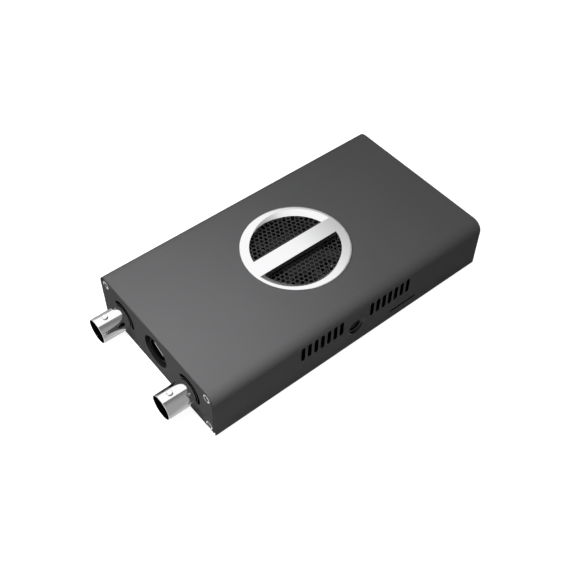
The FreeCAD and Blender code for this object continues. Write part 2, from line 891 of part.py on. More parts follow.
def make_main_board():
    """The circuit board, notched round the corner bosses and drilled for its screws."""
    board = block(-board_edge_x, board_edge_x, board_front, board_rear, board_bottom, board_top)
    notch_x = screw_x - boss_r - board_boss_gap
    notch_y = body_length / 2 - plate_thick - boss_length - board_boss_gap
    cutters = []
    for side in (-1, 1):
        for end in (-1, 1):
            x0, x1 = sorted((side * notch_x, side * body_width))
            y0, y1 = sorted((end * notch_y, end * body_length))
            cutters.append(block(x0, x1, y0, y1, board_bottom - spill, board_top + spill))
    for x, y in board_screw_places():
        cutters.append(sided_post(x, y, board_screw_r + thread_gap, board_bottom - spill, board_top + spill))
    for x, y in leg_places():
        cutters.append(sided_post(x, y, leg_screw_r + thread_gap, board_bottom - spill, board_top + spill))
    return solid_of(board.cut(cutters))


def make_board_spacers():
    """The four six-sided spacers between the floor and the board."""
    rings = []
    for x, y in board_screw_places():
        ring = sided_post(x, y, spacer_r, wall, board_bottom, hexagon_sides)
        rings.append(ring.cut(sided_post(x, y, board_screw_r + thread_gap, 0, board_top)))
    return Part.makeCompound(rings)


def make_board_nuts():
    """The four six-sided nuts on top of the board."""
    nuts = []
    for x, y in board_screw_places():
        nut = sided_post(x, y, board_nut_r, board_top, board_top + board_nut_height, hexagon_sides)
        nuts.append(nut.cut(sided_post(x, y, board_screw_r + thread_gap, 0, body_height)))
    return Part.makeCompound(nuts)


def make_board_screws():
    """The four countersunk screws from underneath."""
    screws = []
    for x, y in board_screw_places():
        top = board_top + board_nut_height
        cone_end = sink_head + board_head_depth
        points = [(board_head_r, sink_head), (board_screw_r, cone_end), (board_screw_r, top)]
        screws.append(sided(points, Vector(x, y, 0), Vector(0, 0, 1)))
    return Part.makeCompound(screws)


def make_bnc_shell(x):
    """A bayonet barrel with a chamfered mouth, two lugs and a tail in the jack's base."""
    mouth = front_face - bnc_barrel_length
    chamfer = bnc_mouth_chamfer
    seat = mouth + bnc_bore_depth
    tail = jack_base_front + bnc_tail_length
    shoulder = jack_base_front
    points = [(bnc_bore_r, mouth + chamfer), (bnc_bore_r + chamfer, mouth),
              (bnc_barrel_r - chamfer, mouth), (bnc_barrel_r, mouth + chamfer),
              (bnc_barrel_r, shoulder), (bnc_tail_r, shoulder), (bnc_tail_r, tail),
              (bnc_insulator_r, tail), (bnc_insulator_r, seat), (bnc_bore_r, seat)]
    barrel = turned_y(points, x, jack_axis_z)
    lug_y = front_face - bnc_lug_from_plate
    lugs = []
    for way in (-1, 1):
        root = (bnc_bore_r + bnc_barrel_r) / 2
        start = Vector(x, lug_y, jack_axis_z + way * root)
        lugs.append(Part.makeCylinder(bnc_lug_r, bnc_lug_tip_r - root, start, Vector(0, 0, way)))
    return solid_of(fuse_all([barrel] + lugs))


def make_bnc_insulator(x):
    """The insulator that carries the contact in the barrel."""
    seat = front_face - bnc_barrel_length + bnc_bore_depth
    tail = jack_base_front + bnc_tail_length
    plug = rod_y(x, jack_axis_z, bnc_insulator_r, seat, tail)
    return plug.cut(rod_y(x, jack_axis_z, bnc_contact_r, seat - spill, tail + spill))


def make_bnc_contact(x):
    """The hollow contact with its two crossed slots."""
    front = front_face - bnc_barrel_length + bnc_bore_depth
    back = jack_base_front + bnc_tail_length
    contact = rod_y(x, jack_axis_z, bnc_contact_r, front, back)
    z = jack_axis_z
    start = front - spill
    cutters = [rod_y(x, z, bnc_contact_bore_r, start, front + bnc_contact_bore_depth)]
    slot_end = front + bnc_contact_slot_depth
    for wide, high in ((bnc_contact_slot, 2 * spill), (2 * spill, bnc_contact_slot)):
        cutters.append(block(x - wide / 2, x + wide / 2, start, slot_end, z - high / 2, z + high / 2))
    return solid_of(contact.cut(cutters))


def round_upper_edges(case):
    """A socket's block with its two upper edges along Y rounded."""
    edges = [e for e in edges_along(case, Vector(0, 1, 0)) if e.CenterOfMass.z > jack_axis_z]
    return case.makeFillet(socket_corner_r, edges)


def make_bnc_base(x):
    """The jack's square base on the board, which holds the barrel's tail."""
    top = jack_axis_z + bnc_base_top
    half = bnc_base_width / 2
    back = jack_base_front + bnc_base_length
    base = block(x - half, x + half, jack_base_front, back, board_top, top)
    base = round_upper_edges(base)
    tail = jack_base_front + bnc_tail_length
    return base.cut(rod_y(x, jack_axis_z, bnc_tail_r, jack_base_front - spill, tail))


def make_light_guide(x):
    """The dark arc that fills its slot and reaches back to the jack's base."""
    return arc_slot(x, guide_width - 2 * guide_gap, front_face, jack_base_front)


def din_nose_y():
    """The y of the round socket's front face, inside the plate's hole."""
    return front_face + din_nose_recess


def make_din_body():
    """The round socket's body: a block on the board with a round nose in the plate's hole."""
    nose = rod_y(0, jack_axis_z, din_hole_r - din_nose_gap, din_nose_y(), jack_base_front + spill)
    half = din_body_width / 2
    top = jack_axis_z + din_body_top
    case = block(-half, half, jack_base_front, jack_base_front + din_body_length, board_top, top)
    body = fuse_all([round_upper_edges(case), nose])
    cavity = rod_y(0, jack_axis_z, din_cavity_r, din_nose_y() - spill, din_nose_y() + din_cavity_depth)
    return solid_of(body.cut(cavity))


def make_din_shield():
    """The metal tube that lines the round socket."""
    start = din_nose_y()
    end = start + din_cavity_depth
    tube = rod_y(0, jack_axis_z, din_cavity_r, start, end)
    return tube.cut(rod_y(0, jack_axis_z, din_cavity_r - din_shield_thick, start - spill, end + spill))


def make_din_insert():
    """The round insert with its rows of contact holes and the key slot, on a full-width root."""
    start = din_nose_y() + din_insert_recess
    end = din_nose_y() + din_cavity_depth
    root = rod_y(0, jack_axis_z, din_cavity_r - din_shield_thick, end - din_root_thick, end)
    core = fuse_all([rod_y(0, jack_axis_z, din_insert_r, start, end - din_root_thick / 2), root])
    cutters = []
    for row, count in ((1, 3), (0, 4), (-1, 2)):
        z = jack_axis_z + row * din_pin_pitch
        for k in range(count):
            x = (k - (count - 1) / 2) * din_pin_pitch
            if row < 0:
                x = x * din_lower_spread
            cutters.append(sided_rod_y(x, z, din_pin_r, start - spill, start + din_pin_depth, hexagon_sides))
    low = jack_axis_z - din_pin_pitch - din_key_height / 2
    half = din_key_width / 2
    cutters.append(block(-half, half, start - spill, start + din_pin_depth, low, low + din_key_height))
    return solid_of(core.cut(cutters))


def rj_levels():
    """The bottom and top of the network plug's room."""
    bottom = board_top + rj_plug_base
    return bottom, bottom + rj_plug_height


def make_ethernet_shield():
    """The folded metal shield round the network socket, open to the rear."""
    half = rj_width / 2
    front = rear_face - rj_length
    shell = block(rj_x - half, rj_x + half, front, rear_face, board_top, board_top + rj_height)
    t = rj_shield_thick
    half = half - t
    top = board_top + rj_height - t
    return shell.cut(block(rj_x - half, rj_x + half, front + t, rear_face + spill, board_top + t, top))


def make_ethernet_insert():
    """The moulded block in the shield, with the plug's room and its latch notch."""
    t = rj_shield_thick
    half = rj_width / 2 - t
    front = rear_face - rj_length + t
    top = board_top + rj_height - t
    body = block(rj_x - half, rj_x + half, front, rear_face - t, board_top + t, top)
    low, high = rj_levels()
    plug = rj_plug_width / 2
    room = block(rj_x - plug, rj_x + plug, rear_face - rj_plug_depth, rear_face + spill, low, high)
    latch = rj_latch_width / 2
    notch_start = rear_face - rj_plug_depth / 2
    notch_low = low - rj_latch_height
    notch = block(rj_x - latch, rj_x + latch, notch_start, rear_face + spill, notch_low, low + spill)
    return solid_of(body.cut([room, notch]))


def make_ethernet_contacts():
    """The row of spring contacts that slope down from the roof of the plug's room."""
    low, high = rj_levels()
    start = rear_face - rj_contact_start
    end = rear_face - rj_plug_depth
    wires = []
    for k in range(rj_contact_count):
        x = rj_x + (k - (rj_contact_count - 1) / 2) * rj_contact_pitch - rj_contact_width / 2
        drop = high - rj_contact_drop
        side = [Vector(x, start, high), Vector(x, end, drop), Vector(x, end, drop - rj_contact_thick),
                Vector(x, start, high - rj_contact_thick)]
        face = Part.Face(Part.makePolygon(side + side[:1]))
        wires.append(face.extrude(Vector(rj_contact_width, 0, 0)))
    return Part.makeCompound(wires)


def usb_bar(inset, y0, y1):
    """A bar with the power socket's outline, made smaller all round by an inset."""
    z = board_top + usb_height / 2
    r = max(usb_corner_r - inset, inner_corner_r)
    return rounded_bar_y(usb_x, z, usb_width - 2 * inset, usb_height - 2 * inset, r, y0, y1)


def make_usb_shell():
    """The power socket's folded shell."""
    mouth = rear_face - usb_recess
    shell = usb_bar(0, mouth - usb_length, mouth)
    return solid_of(shell.cut(usb_bar(usb_shell_thick, mouth - usb_length - spill, mouth + spill)))


def make_usb_tongue():
    """The power socket's back wall and its contact tongue."""
    mouth = rear_face - usb_recess
    back = usb_bar(usb_shell_thick, mouth - usb_length, mouth - usb_length + usb_back_thick)
    z = board_top + usb_height / 2
    half = usb_tongue_thick / 2
    tongue = block(usb_x - usb_tongue_width / 2, usb_x + usb_tongue_width / 2,
                   mouth - usb_length, mouth - usb_tongue_recess, z - half, z + half)
    return solid_of(fuse_all([back, tongue]))


def pipe_places():
    """The x of each status light."""
    return [pipe_x + (k - (pipe_count - 1) / 2) * pipe_pitch for k in range(pipe_count)]


def pipe_drop_y():
    """The y of the upright leg of each light pipe."""
    return rear_face - pipe_reach


def make_status_light_pipes():
    """Moulded light pipes: a round nose in the plate, then a square bar turned down by a mirror face."""
    pipes = []
    bottom = board_top + led_height
    half = pipe_thick / 2
    front = pipe_drop_y() - half
    for x in pipe_places():
        nose = rod_y(x, pipe_z, pipe_r, rear_inside, rear_face)
        profile = [(front, bottom), (front + pipe_thick, bottom), (front + pipe_thick, pipe_z - half),
                   (rear_inside, pipe_z - half), (rear_inside, pipe_z + half),
                   (front + pipe_thick, pipe_z + half), (front, pipe_z - half)]
        corners = [Vector(x - half, y, z) for y, z in profile]
        face = Part.Face(Part.makePolygon(corners + corners[:1]))
        pipes.append(solid_of(fuse_all([nose, face.extrude(Vector(pipe_thick, 0, 0))])))
    return Part.makeCompound(pipes)


def make_status_leds():
    """The small lights on the board under the pipes."""
    y = pipe_drop_y()
    top = board_top + led_height
    lights = [standing_block(x, y, led_size, led_size, board_top, top) for x in pipe_places()]
    return Part.makeCompound(lights)


def make_reset_button():
    """The button: a cap in the plate's hole and a stem in the switch."""
    face = rear_face - reset_recess
    shoulder = face - reset_cap_length
    cap = rod_y(reset_x, reset_z, reset_cap_r, shoulder, face)
    stem = rod_y(reset_x, reset_z, reset_stem_r, shoulder - reset_stem_length, shoulder)
    return solid_of(fuse_all([cap, stem]))


def make_reset_switch():
    """The switch body on the board, which guides the button's stem."""
    shoulder = rear_face - reset_recess - reset_cap_length
    face = shoulder - reset_travel - reset_end_gap
    case = block(reset_x - switch_width / 2, reset_x + switch_width / 2, face - switch_length, face,
                 board_top, reset_z + switch_rise)
    bore_end = shoulder - reset_stem_length - reset_travel - reset_end_gap
    return case.cut(rod_y(reset_x, reset_z, reset_stem_r + reset_stem_gap, bore_end, face + spill))


def make_card_socket():
    """The flat card socket at the board's right edge, open towards the side slot."""
    end = board_edge_x
    half = card_socket_width / 2
    top = board_top + card_socket_height
    case = block(end - card_socket_length, end, card_y - half, card_y + half, board_top, top)
    room = card_cavity_width / 2
    low = card_z - card_slot_height / 2
    start = end - card_cavity_depth
    return case.cut(block(start, end + spill, card_y - room, card_y + room, low, low + card_slot_height))


def make_chips():
    """The processor under the heatsink, two memory chips ahead of it and the network chip."""
    processor = standing_block(0, 0, chip_size, chip_size, board_top, chip_top)
    memory_y = -sink_size / 2 - memory_gap - memory_length / 2
    memory = []
    top = board_top + memory_height
    for side in (-1, 1):
        x = side * memory_spacing / 2
        memory.append(standing_block(x, memory_y, memory_width, memory_length, board_top, top))
    network_y = rear_face - rj_length - network_gap - network_size / 2
    top = board_top + network_height
    network = standing_block(rj_x, network_y, network_size, network_size, board_top, top)
    return processor, Part.makeCompound(memory), network


def make_thermal_pad():
    """The soft pad between the processor and the heatsink."""
    return standing_block(0, 0, chip_size, chip_size, chip_top, sink_bottom)


def make_power_transformer():
    """The supply transformer, ahead of the power socket and the lights."""
    y = pipe_drop_y() - transformer_gap - transformer_length / 2
    top = board_top + transformer_height
    core = standing_block(usb_x, y, transformer_width, transformer_length, board_top, top)
    top_face = max(core.Faces, key=lambda face: face.CenterOfMass.z)
    return core.makeChamfer(socket_corner_r, top_face.Edges)


def make_power_inductors():
    """The moulded inductors in a row, just behind the heatsink."""
    row = []
    y = sink_size / 2 + inductor_gap + inductor_size / 2
    for k in range(inductor_count):
        x = inductor_x + (k - (inductor_count - 1) / 2) * inductor_pitch
        body = standing_block(x, y, inductor_size, inductor_size, board_top, board_top + inductor_height)
        row.append(body.makeChamfer(inductor_corner, edges_along(body, Vector(0, 0, 1))))
    return Part.makeCompound(row)


def make_board_capacitors():
    """Four round capacitors behind the jacks."""
    y = jack_base_front + bnc_base_length + capacitor_gap + capacitor_r
    cans = []
    for side in (-1, 1):
        for k in (0, 1):
            x = side * (bnc_spacing / 2 + (k - 0.5) * capacitor_pitch)
            cans.append(sided_post(x, y, capacitor_r, board_top, board_top + capacitor_height))
    return Part.makeCompound(cans)


def header_x():
    """The x of the fan's socket on the board, beside the heatsink."""
    return -sink_size / 2 - header_gap - header_width / 2


def make_fan_header():
    """The fan's plug socket on the board, open on top."""
    top = board_top + header_height
    case = standing_block(header_x(), header_y, header_width, header_length, board_top, top)
    width = header_width - 2 * header_wall
    length = header_length - 2 * header_wall
    floor = board_top + header_floor
    return case.cut(standing_block(header_x(), header_y, width, length, floor, top + spill))


def make_fan_lead():
    """The flat three-wire ribbon from the fan frame's side, bent down into the header."""
    outer = header_x() - lead_thick / 2
    inner = header_x() + lead_thick / 2
    top = fan_bottom_z + lead_height
    bottom = board_top + header_floor
    end = -fan_size / 2
    profile = [(outer, bottom), (inner, bottom), (inner, top - 2 * lead_thick),
               (inner + lead_thick, top - lead_thick), (end, top - lead_thick), (end, top),
               (inner, top), (outer, top - lead_thick)]
    corners = [Vector(x, header_y - lead_width / 2, z) for x, z in profile]
    return Part.Face(Part.makePolygon(corners + corners[:1])).extrude(Vector(0, lead_width, 0))


def build():
    """Every sub-part by name."""
    processor, memory, network = make_chips()
    parts = {
        "sleeve": make_sleeve(),
        "front_plate": make_front_plate(),
        "rear_plate": make_rear_plate(),
        "front_screws": make_plate_screws(front_face, -1),
        "rear_screws": make_plate_screws(rear_face, 1),
        "tripod_insert": make_tripod_insert(),
        "grille_ring": make_grille_ring(),
        "grille_mesh": make_grille_mesh(),
        "fan_frame": make_fan_frame(),
        "fan_bearing": make_fan_bearing(),
        "fan_shaft": make_fan_shaft(),
        "fan_rotor": make_fan_rotor(),
        "fan_magnet": make_fan_magnet(),
        "fan_stator": make_fan_stator(),
        "fan_coils": make_fan_coils(),
        "fan_screws": make_fan_screws(),
        "fan_header": make_fan_header(),
        "fan_lead": make_fan_lead(),
        "heatsink": make_heatsink(),
        "heatsink_screws": make_heatsink_screws(),
        "thermal_pad": make_thermal_pad(),
        "main_board": make_main_board(),
        "board_spacers": make_board_spacers(),
        "board_nuts": make_board_nuts(),
        "board_screws": make_board_screws(),
        "processor_chip": processor,
        "memory_chips": memory,
        "network_chip": network,
        "power_transformer": make_power_transformer(),
        "power_inductors": make_power_inductors(),
        "board_capacitors": make_board_capacitors(),
        "card_socket": make_card_socket(),
        "din_body": make_din_body(),
        "din_shield": make_din_shield(),
        "din_insert": make_din_insert(),
        "ethernet_shield": make_ethernet_shield(),
        "ethernet_insert": make_ethernet_insert(),
        "ethernet_contacts": make_ethernet_contacts(),
        "usb_shell": make_usb_shell(),
        "usb_tongue": make_usb_tongue(),
        "status_light_pipes": make_status_light_pipes(),
        "status_leds": make_status_leds(),
        "reset_button": make_reset_button(),
        "reset_switch": make_reset_switch(),
    }
    for side, name in ((-1, "left"), (1, "right")):
        x = side * bnc_spacing / 2
        parts["bnc_shell_" + name] = make_bnc_shell(x)
        parts["bnc_insulator_" + name] = make_bnc_insulator(x)
        parts["bnc_contact_" + name] = make_bnc_contact(x)
        parts["bnc_base_" + name] = make_bnc_base(x)
        parts["light_guide_" + name] = make_light_guide(x)
    return parts


os.makedirs("parts", exist_ok=True)
for node, shape in build().items():
    shape.exportStep("parts/" + node + ".step")
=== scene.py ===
from math import cos, pi, radians, sin

import bmesh
import bpy
from mathutils import Matrix, Quaternion, Vector


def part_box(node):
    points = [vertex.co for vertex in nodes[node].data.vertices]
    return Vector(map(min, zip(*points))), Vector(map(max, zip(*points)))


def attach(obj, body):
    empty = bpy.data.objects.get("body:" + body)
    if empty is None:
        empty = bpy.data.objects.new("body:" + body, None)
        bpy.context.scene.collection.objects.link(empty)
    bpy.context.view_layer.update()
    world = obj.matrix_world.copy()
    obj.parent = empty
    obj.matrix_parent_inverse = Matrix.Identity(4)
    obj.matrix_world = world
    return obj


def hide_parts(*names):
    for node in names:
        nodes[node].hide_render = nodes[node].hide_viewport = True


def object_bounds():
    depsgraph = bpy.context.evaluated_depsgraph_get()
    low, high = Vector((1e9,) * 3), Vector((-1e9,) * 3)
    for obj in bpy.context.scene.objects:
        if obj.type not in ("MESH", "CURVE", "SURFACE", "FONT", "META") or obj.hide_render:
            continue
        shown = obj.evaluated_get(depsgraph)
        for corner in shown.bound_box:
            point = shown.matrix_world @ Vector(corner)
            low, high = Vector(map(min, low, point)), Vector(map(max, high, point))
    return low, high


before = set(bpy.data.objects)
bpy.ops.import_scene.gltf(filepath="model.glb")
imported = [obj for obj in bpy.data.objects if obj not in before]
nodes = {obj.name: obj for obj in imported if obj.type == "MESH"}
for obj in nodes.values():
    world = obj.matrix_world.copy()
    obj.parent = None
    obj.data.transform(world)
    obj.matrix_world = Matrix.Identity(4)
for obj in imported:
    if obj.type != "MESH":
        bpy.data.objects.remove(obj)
cad_low, cad_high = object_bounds()
mm = 0.001

# Camera. It looks down on the front right corner of the box from about a third of a metre,
# with a longish lens, tilted a little about its line of sight.
azimuth, elevation, tilt = radians(50.516), radians(49.986), radians(0.615)
aim, distance = Vector((1.554, -6.049, 6.764)) * mm, 331.7 * mm
focal_length, film_width, nearest, farthest = 55.77, 36, 0.01, 20
back = Vector((sin(azimuth) * cos(elevation), -cos(azimuth) * cos(elevation), sin(elevation)))
camera = bpy.data.objects.new("camera", bpy.data.cameras.new("camera"))
camera.data.lens = focal_length
camera.data.sensor_width = film_width
camera.data.clip_start = nearest
camera.data.clip_end = farthest
camera.location = aim + back * distance
camera.rotation_mode = "QUATERNION"
camera.rotation_quaternion = (-back).to_track_quat("-Z", "Y") @ Quaternion((0, 0, 1), tilt)
bpy.context.scene.collection.objects.link(camera)
bpy.context.scene.camera = camera
bpy.context.scene.view_settings.view_transform = "Standard"

# Studio. The surroundings are white to the camera and in reflections. The white floor, which no
# reflection sees, takes the box's soft shadow. A lamp close above the front end lets the lid fade
# towards the rear, and cards that only reflections see give the polished metal its bands.
direct_rays = ("Is Camera Ray", "Is Glossy Ray", "Is Transmission Ray")
floor_reach, floor_drop, paper_greys = 4.0, 0.02 * mm, (0.5, 0.53)
floor_glow, sky_glow, sky_light = 0.85, 1.0, 0.24


def seen_directly(tree, elsewhere, straight):
    """A strength for what the camera, a reflection or glass sees, and another for the rest."""
    path = tree.nodes.new("ShaderNodeLightPath")
    level = tree.nodes.new("ShaderNodeMapRange")
    level.inputs["To Min"].default_value = elsewhere
    level.inputs["To Max"].default_value = straight
    seen = path.outputs[direct_rays[0]]
    for name in direct_rays[1:]:
        either = tree.nodes.new("ShaderNodeMath")
        either.operation = "MAXIMUM"
        tree.links.new(seen, either.inputs[0])
        tree.links.new(path.outputs[name], either.inputs[1])
        seen = either.outputs["Value"]
    tree.links.new(seen, level.inputs["Value"])
    return level.outputs["Result"]


bm = bmesh.new()
bmesh.ops.create_grid(bm, x_segments=8, y_segments=8, size=floor_reach)
bmesh.ops.translate(bm, verts=bm.verts, vec=(0, 0, -floor_drop))
mesh = bpy.data.meshes.new("floor")
bm.to_mesh(mesh)
bm.free()
floor = bpy.data.objects.new("floor", mesh)
bpy.context.scene.collection.objects.link(floor)
floor.visible_glossy = False
floor_paper = bpy.data.materials.new("floor_paper")
floor_paper.use_nodes = True
tree = floor_paper.node_tree
shader = tree.nodes["Principled BSDF"]
shader.inputs["Roughness"].default_value = 0.9
shader.inputs["Specular IOR Level"].default_value = 0.1
shader.inputs["Emission Color"].default_value = (1, 1, 1, 1)
place = tree.nodes.new("ShaderNodeTexCoord")
speckle = tree.nodes.new("ShaderNodeTexNoise")
speckle.inputs["Scale"].default_value = 6
paper = tree.nodes.new("ShaderNodeValToRGB")
for element, grey in zip(paper.color_ramp.elements, paper_greys):
    element.color = (grey, grey, grey, 1)
tree.links.new(place.outputs["Object"], speckle.inputs["Vector"])
tree.links.new(speckle.outputs["Fac"], paper.inputs["Fac"])
tree.links.new(paper.outputs["Color"], shader.inputs["Base Color"])
tree.links.new(seen_directly(tree, 0.0, floor_glow), shader.inputs["Emission Strength"])
floor.data.materials.append(floor_paper)

world = bpy.data.worlds.new("studio")
world.use_nodes = True
tree = world.node_tree
tree.nodes["Background"].inputs["Color"].default_value = (1, 1, 1, 1)
tree.links.new(seen_directly(tree, sky_light, sky_glow), tree.nodes["Background"].inputs["Strength"])
bpy.context.scene.world = world


def lamp(name, place, size, watts):
    """A square soft lamp that faces straight down and that no reflection sees."""
    light = bpy.data.lights.new(name, "AREA")
    light.size = size
    light.energy = watts
    holder = bpy.data.objects.new(name, light)
    holder.location = place
    holder.visible_glossy = False
    bpy.context.scene.collection.objects.link(holder)


lamp("near_lamp", (0.01, -0.08, 0.122), size=0.08, watts=0.19)
lamp("overhead_lamp", (0, 0.1, 1.4), size=1.2, watts=9)


def card(name, width, height, middle, slant, steps, back_tone=None, turn=0.0):
    """An upright card that only reflections see. Its front faces -Y, or turns round from there.
    Its tones are steps of position and grey along a slanting line, and its back may have one tone."""
    bm = bmesh.new()
    bmesh.ops.create_grid(bm, x_segments=1, y_segments=1, size=0.5)
    bmesh.ops.scale(bm, verts=bm.verts, vec=(width, height, 1))
    bmesh.ops.rotate(bm, verts=bm.verts, matrix=Matrix.Rotation(pi / 2, 3, "X"))
    bmesh.ops.rotate(bm, verts=bm.verts, matrix=Matrix.Rotation(turn, 3, "Z"))
    bmesh.ops.translate(bm, verts=bm.verts, vec=middle)
    mesh = bpy.data.meshes.new(name)
    bm.to_mesh(mesh)
    bm.free()
    board = bpy.data.objects.new(name, mesh)
    bpy.context.scene.collection.objects.link(board)
    board.visible_camera = False
    board.visible_diffuse = False
    board.visible_shadow = False
    board.visible_transmission = False
    material = bpy.data.materials.new(name)
    material.use_nodes = True
    tree = material.node_tree
    shader = tree.nodes["Principled BSDF"]
    shader.inputs["Base Color"].default_value = (0, 0, 0, 1)
    shader.inputs["Specular IOR Level"].default_value = 0
    shader.inputs["Emission Strength"].default_value = 1
    place = tree.nodes.new("ShaderNodeTexCoord")
    along = tree.nodes.new("ShaderNodeVectorMath")
    along.operation = "DOT_PRODUCT"
    along.inputs[1].default_value = slant
    fade = tree.nodes.new("ShaderNodeValToRGB")
    tones = fade.color_ramp.elements
    tones[0].position = steps[0][0]
    tones[1].position = steps[-1][0]
    for position, _ in steps[1:-1]:
        tones.new(position)
    for tone, (_, grey) in zip(tones, steps):
        tone.color = (grey, grey, grey, 1)
    tree.links.new(place.outputs["Object"], along.inputs[0])
    tree.links.new(along.outputs["Value"], fade.inputs["Fac"])
    seen = fade.outputs["Color"]
    if back_tone is not None:
        facing = tree.nodes.new("ShaderNodeNewGeometry")
        either = tree.nodes.new("ShaderNodeMix")
        either.data_type = "RGBA"
        either.inputs["B"].default_value = (back_tone, back_tone, back_tone, 1)
        tree.links.new(facing.outputs["Backfacing"], either.inputs["Factor"])
        tree.links.new(seen, either.inputs["A"])
        seen = either.outputs["Result"]
    tree.links.new(seen, shader.inputs["Emission Color"])
    board.data.materials.append(material)


rear_y, jack_y, side_x, side_y = 0.45, -0.02, 0.45, -0.314
card("dark_card", 1.3, 1.06, (-0.55, rear_y, 0.67), (0, 0, 1),
     ((0.14, 0.04), (0.21, 0.08), (0.3, 0.25), (0.41, 0.38), (0.66, 0.54), (0.69, 0.68), (0.76, 0.95),
      (0.83, 1.0)))
card("grey_card", 3.1, 1.46, (1.65, rear_y, 0.87), (0, 0, 0.3),
     ((0.042, 0.04), (0.057, 0.07), (0.087, 0.25), (0.123, 0.44), (0.204, 0.57), (0.345, 0.64), (0.48, 0.68)))
card("high_card", 2.77, 1.6, (1.815, rear_y, 2.4), (0.3, 0, 0),
     ((0.129, 0.18), (0.258, 0.22), (0.33, 0.68), (0.39, 0.8)))
card("left_card", 0.7, 0.8, (-2.05, rear_y, 0.4), (0, 0, 1),
     ((0.0, 0.17), (0.25, 0.22), (0.47, 0.34), (0.8, 0.8)))
card("jack_card", 0.437, 0.4, (0.2865, jack_y, 0.2), (2, 0, -1),
     ((0.0, 0.17), (0.05, 0.2), (0.2, 0.29), (0.325, 0.32), (0.42, 0.31)), back_tone=1.0)
card("low_left_card", 0.3, 0.3, (-0.15, jack_y, -0.15), (-4, 0, 0),
     ((0.0, 0.4), (0.136, 0.42), (0.39, 0.45), (0.45, 0.42), (0.53, 0.34), (0.69, 0.3), (0.77, 0.27)),
     back_tone=1.0)
card("low_right_card", 0.3, 0.3, (0.15, jack_y, -0.15), (4, 0, 0),
     ((0.0, 0.5), (0.136, 0.54), (0.39, 0.5), (0.472, 0.48), (0.568, 0.42), (0.677, 0.4), (0.776, 0.32)),
     back_tone=1.0)
for name, side in (("far_left_card", -1), ("far_right_card", 1)):
    card(name, 0.5, 0.5, (side * side_x, side_y, 0), (0, 0, 2), ((0.0, 0.3), (0.2, 0.45), (0.5, 0.75)),
         turn=pi / 2)

# Painted aluminium: the sleeve and both end plates, with a satin charcoal powder coat of very
# fine grain. Each is shown by a copy with its sharp edges eased, as the coat rounds them. The cut
# walls of the vents and of the card slot are painted near-black, as painted shade in the openings.


def variation_group():
    """Slow changes of colour and gloss over a surface, and a fine grain for its height."""
    group = bpy.data.node_groups.new("variation", "ShaderNodeTree")
    wanted = (("Patch Scale", "Float"), ("Grain Scale", "Float"), ("Dark Colour", "Color"),
              ("Light Colour", "Color"), ("Least Roughness", "Float"), ("Most Roughness", "Float"))
    for name, kind in wanted:
        group.interface.new_socket(name, in_out="INPUT", socket_type="NodeSocket" + kind)
    for name, kind in (("Colour", "Color"), ("Roughness", "Float"), ("Height", "Float")):
        group.interface.new_socket(name, in_out="OUTPUT", socket_type="NodeSocket" + kind)
    given = group.nodes.new("NodeGroupInput")
    result = group.nodes.new("NodeGroupOutput")
    place = group.nodes.new("ShaderNodeTexCoord")
    patches = group.nodes.new("ShaderNodeTexNoise")
    patches.inputs["Detail"].default_value = 3
    grain = group.nodes.new("ShaderNodeTexNoise")
    grain.inputs["Detail"].default_value = 4
    colour = group.nodes.new("ShaderNodeMix")
    colour.data_type = "RGBA"
    gloss = group.nodes.new("ShaderNodeMapRange")
    gloss.inputs["From Min"].default_value = 0.3
    gloss.inputs["From Max"].default_value = 0.7
    link = group.links.new
    link(place.outputs["Object"], patches.inputs["Vector"])
    link(place.outputs["Object"], grain.inputs["Vector"])
    link(given.outputs["Patch Scale"], patches.inputs["Scale"])
    link(given.outputs["Grain Scale"], grain.inputs["Scale"])
    link(patches.outputs["Fac"], gloss.inputs["Value"])
    link(patches.outputs["Fac"], colour.inputs["Factor"])
    link(given.outputs["Dark Colour"], colour.inputs["A"])
    link(given.outputs["Light Colour"], colour.inputs["B"])
    link(given.outputs["Least Roughness"], gloss.inputs["To Min"])
    link(given.outputs["Most Roughness"], gloss.inputs["To Max"])
    link(colour.outputs["Result"], result.inputs["Colour"])
    link(gloss.outputs["Result"], result.inputs["Roughness"])
    link(grain.outputs["Fac"], result.inputs["Height"])
    return group


variation = variation_group()


def finish(name, dark, light, rough, patch, grain, relief, metal=0.0, gloss=0.5, coat=0.0):
    """A material whose colour, roughness and grain all come from the variation group. Patch and
    grain are how many there are to a metre, and relief is the height of the grain in millimetres."""
    material = bpy.data.materials.new(name)
    material.use_nodes = True
    tree = material.node_tree
    shader = tree.nodes["Principled BSDF"]
    shader.inputs["Metallic"].default_value = metal
    shader.inputs["Specular IOR Level"].default_value = gloss
    shader.inputs["Coat Weight"].default_value = coat
    vary = tree.nodes.new("ShaderNodeGroup")
    vary.name = "variation"
    vary.node_tree = variation
    vary.inputs["Patch Scale"].default_value = patch
    vary.inputs["Grain Scale"].default_value = grain
    vary.inputs["Dark Colour"].default_value = (*dark, 1)
    vary.inputs["Light Colour"].default_value = (*light, 1)
    vary.inputs["Least Roughness"].default_value = rough[0]
    vary.inputs["Most Roughness"].default_value = rough[1]
    bump = tree.nodes.new("ShaderNodeBump")
    bump.name = "bump"
    bump.inputs["Distance"].default_value = relief * mm
    tree.links.new(vary.outputs["Colour"], shader.inputs["Base Color"])
    tree.links.new(vary.outputs["Roughness"], shader.inputs["Roughness"])
    tree.links.new(vary.outputs["Height"], bump.inputs["Height"])
    tree.links.new(bump.outputs["Normal"], shader.inputs["Normal"])
    return material


def finished_piece(bm, name, material, body="housing"):
    """A smooth-shaded object from a mesh that was made in its own place."""
    for face in bm.faces:
        face.smooth = True
    mesh = bpy.data.meshes.new(name)
    bm.to_mesh(mesh)
    bm.free()
    piece = bpy.data.objects.new(name, mesh)
    bpy.context.scene.collection.objects.link(piece)
    mesh.materials.append(material)
    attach(piece, body)
    return piece


seam_reach, flat_angle, sharp_angle = 0.001 * mm, radians(0.5), radians(32)


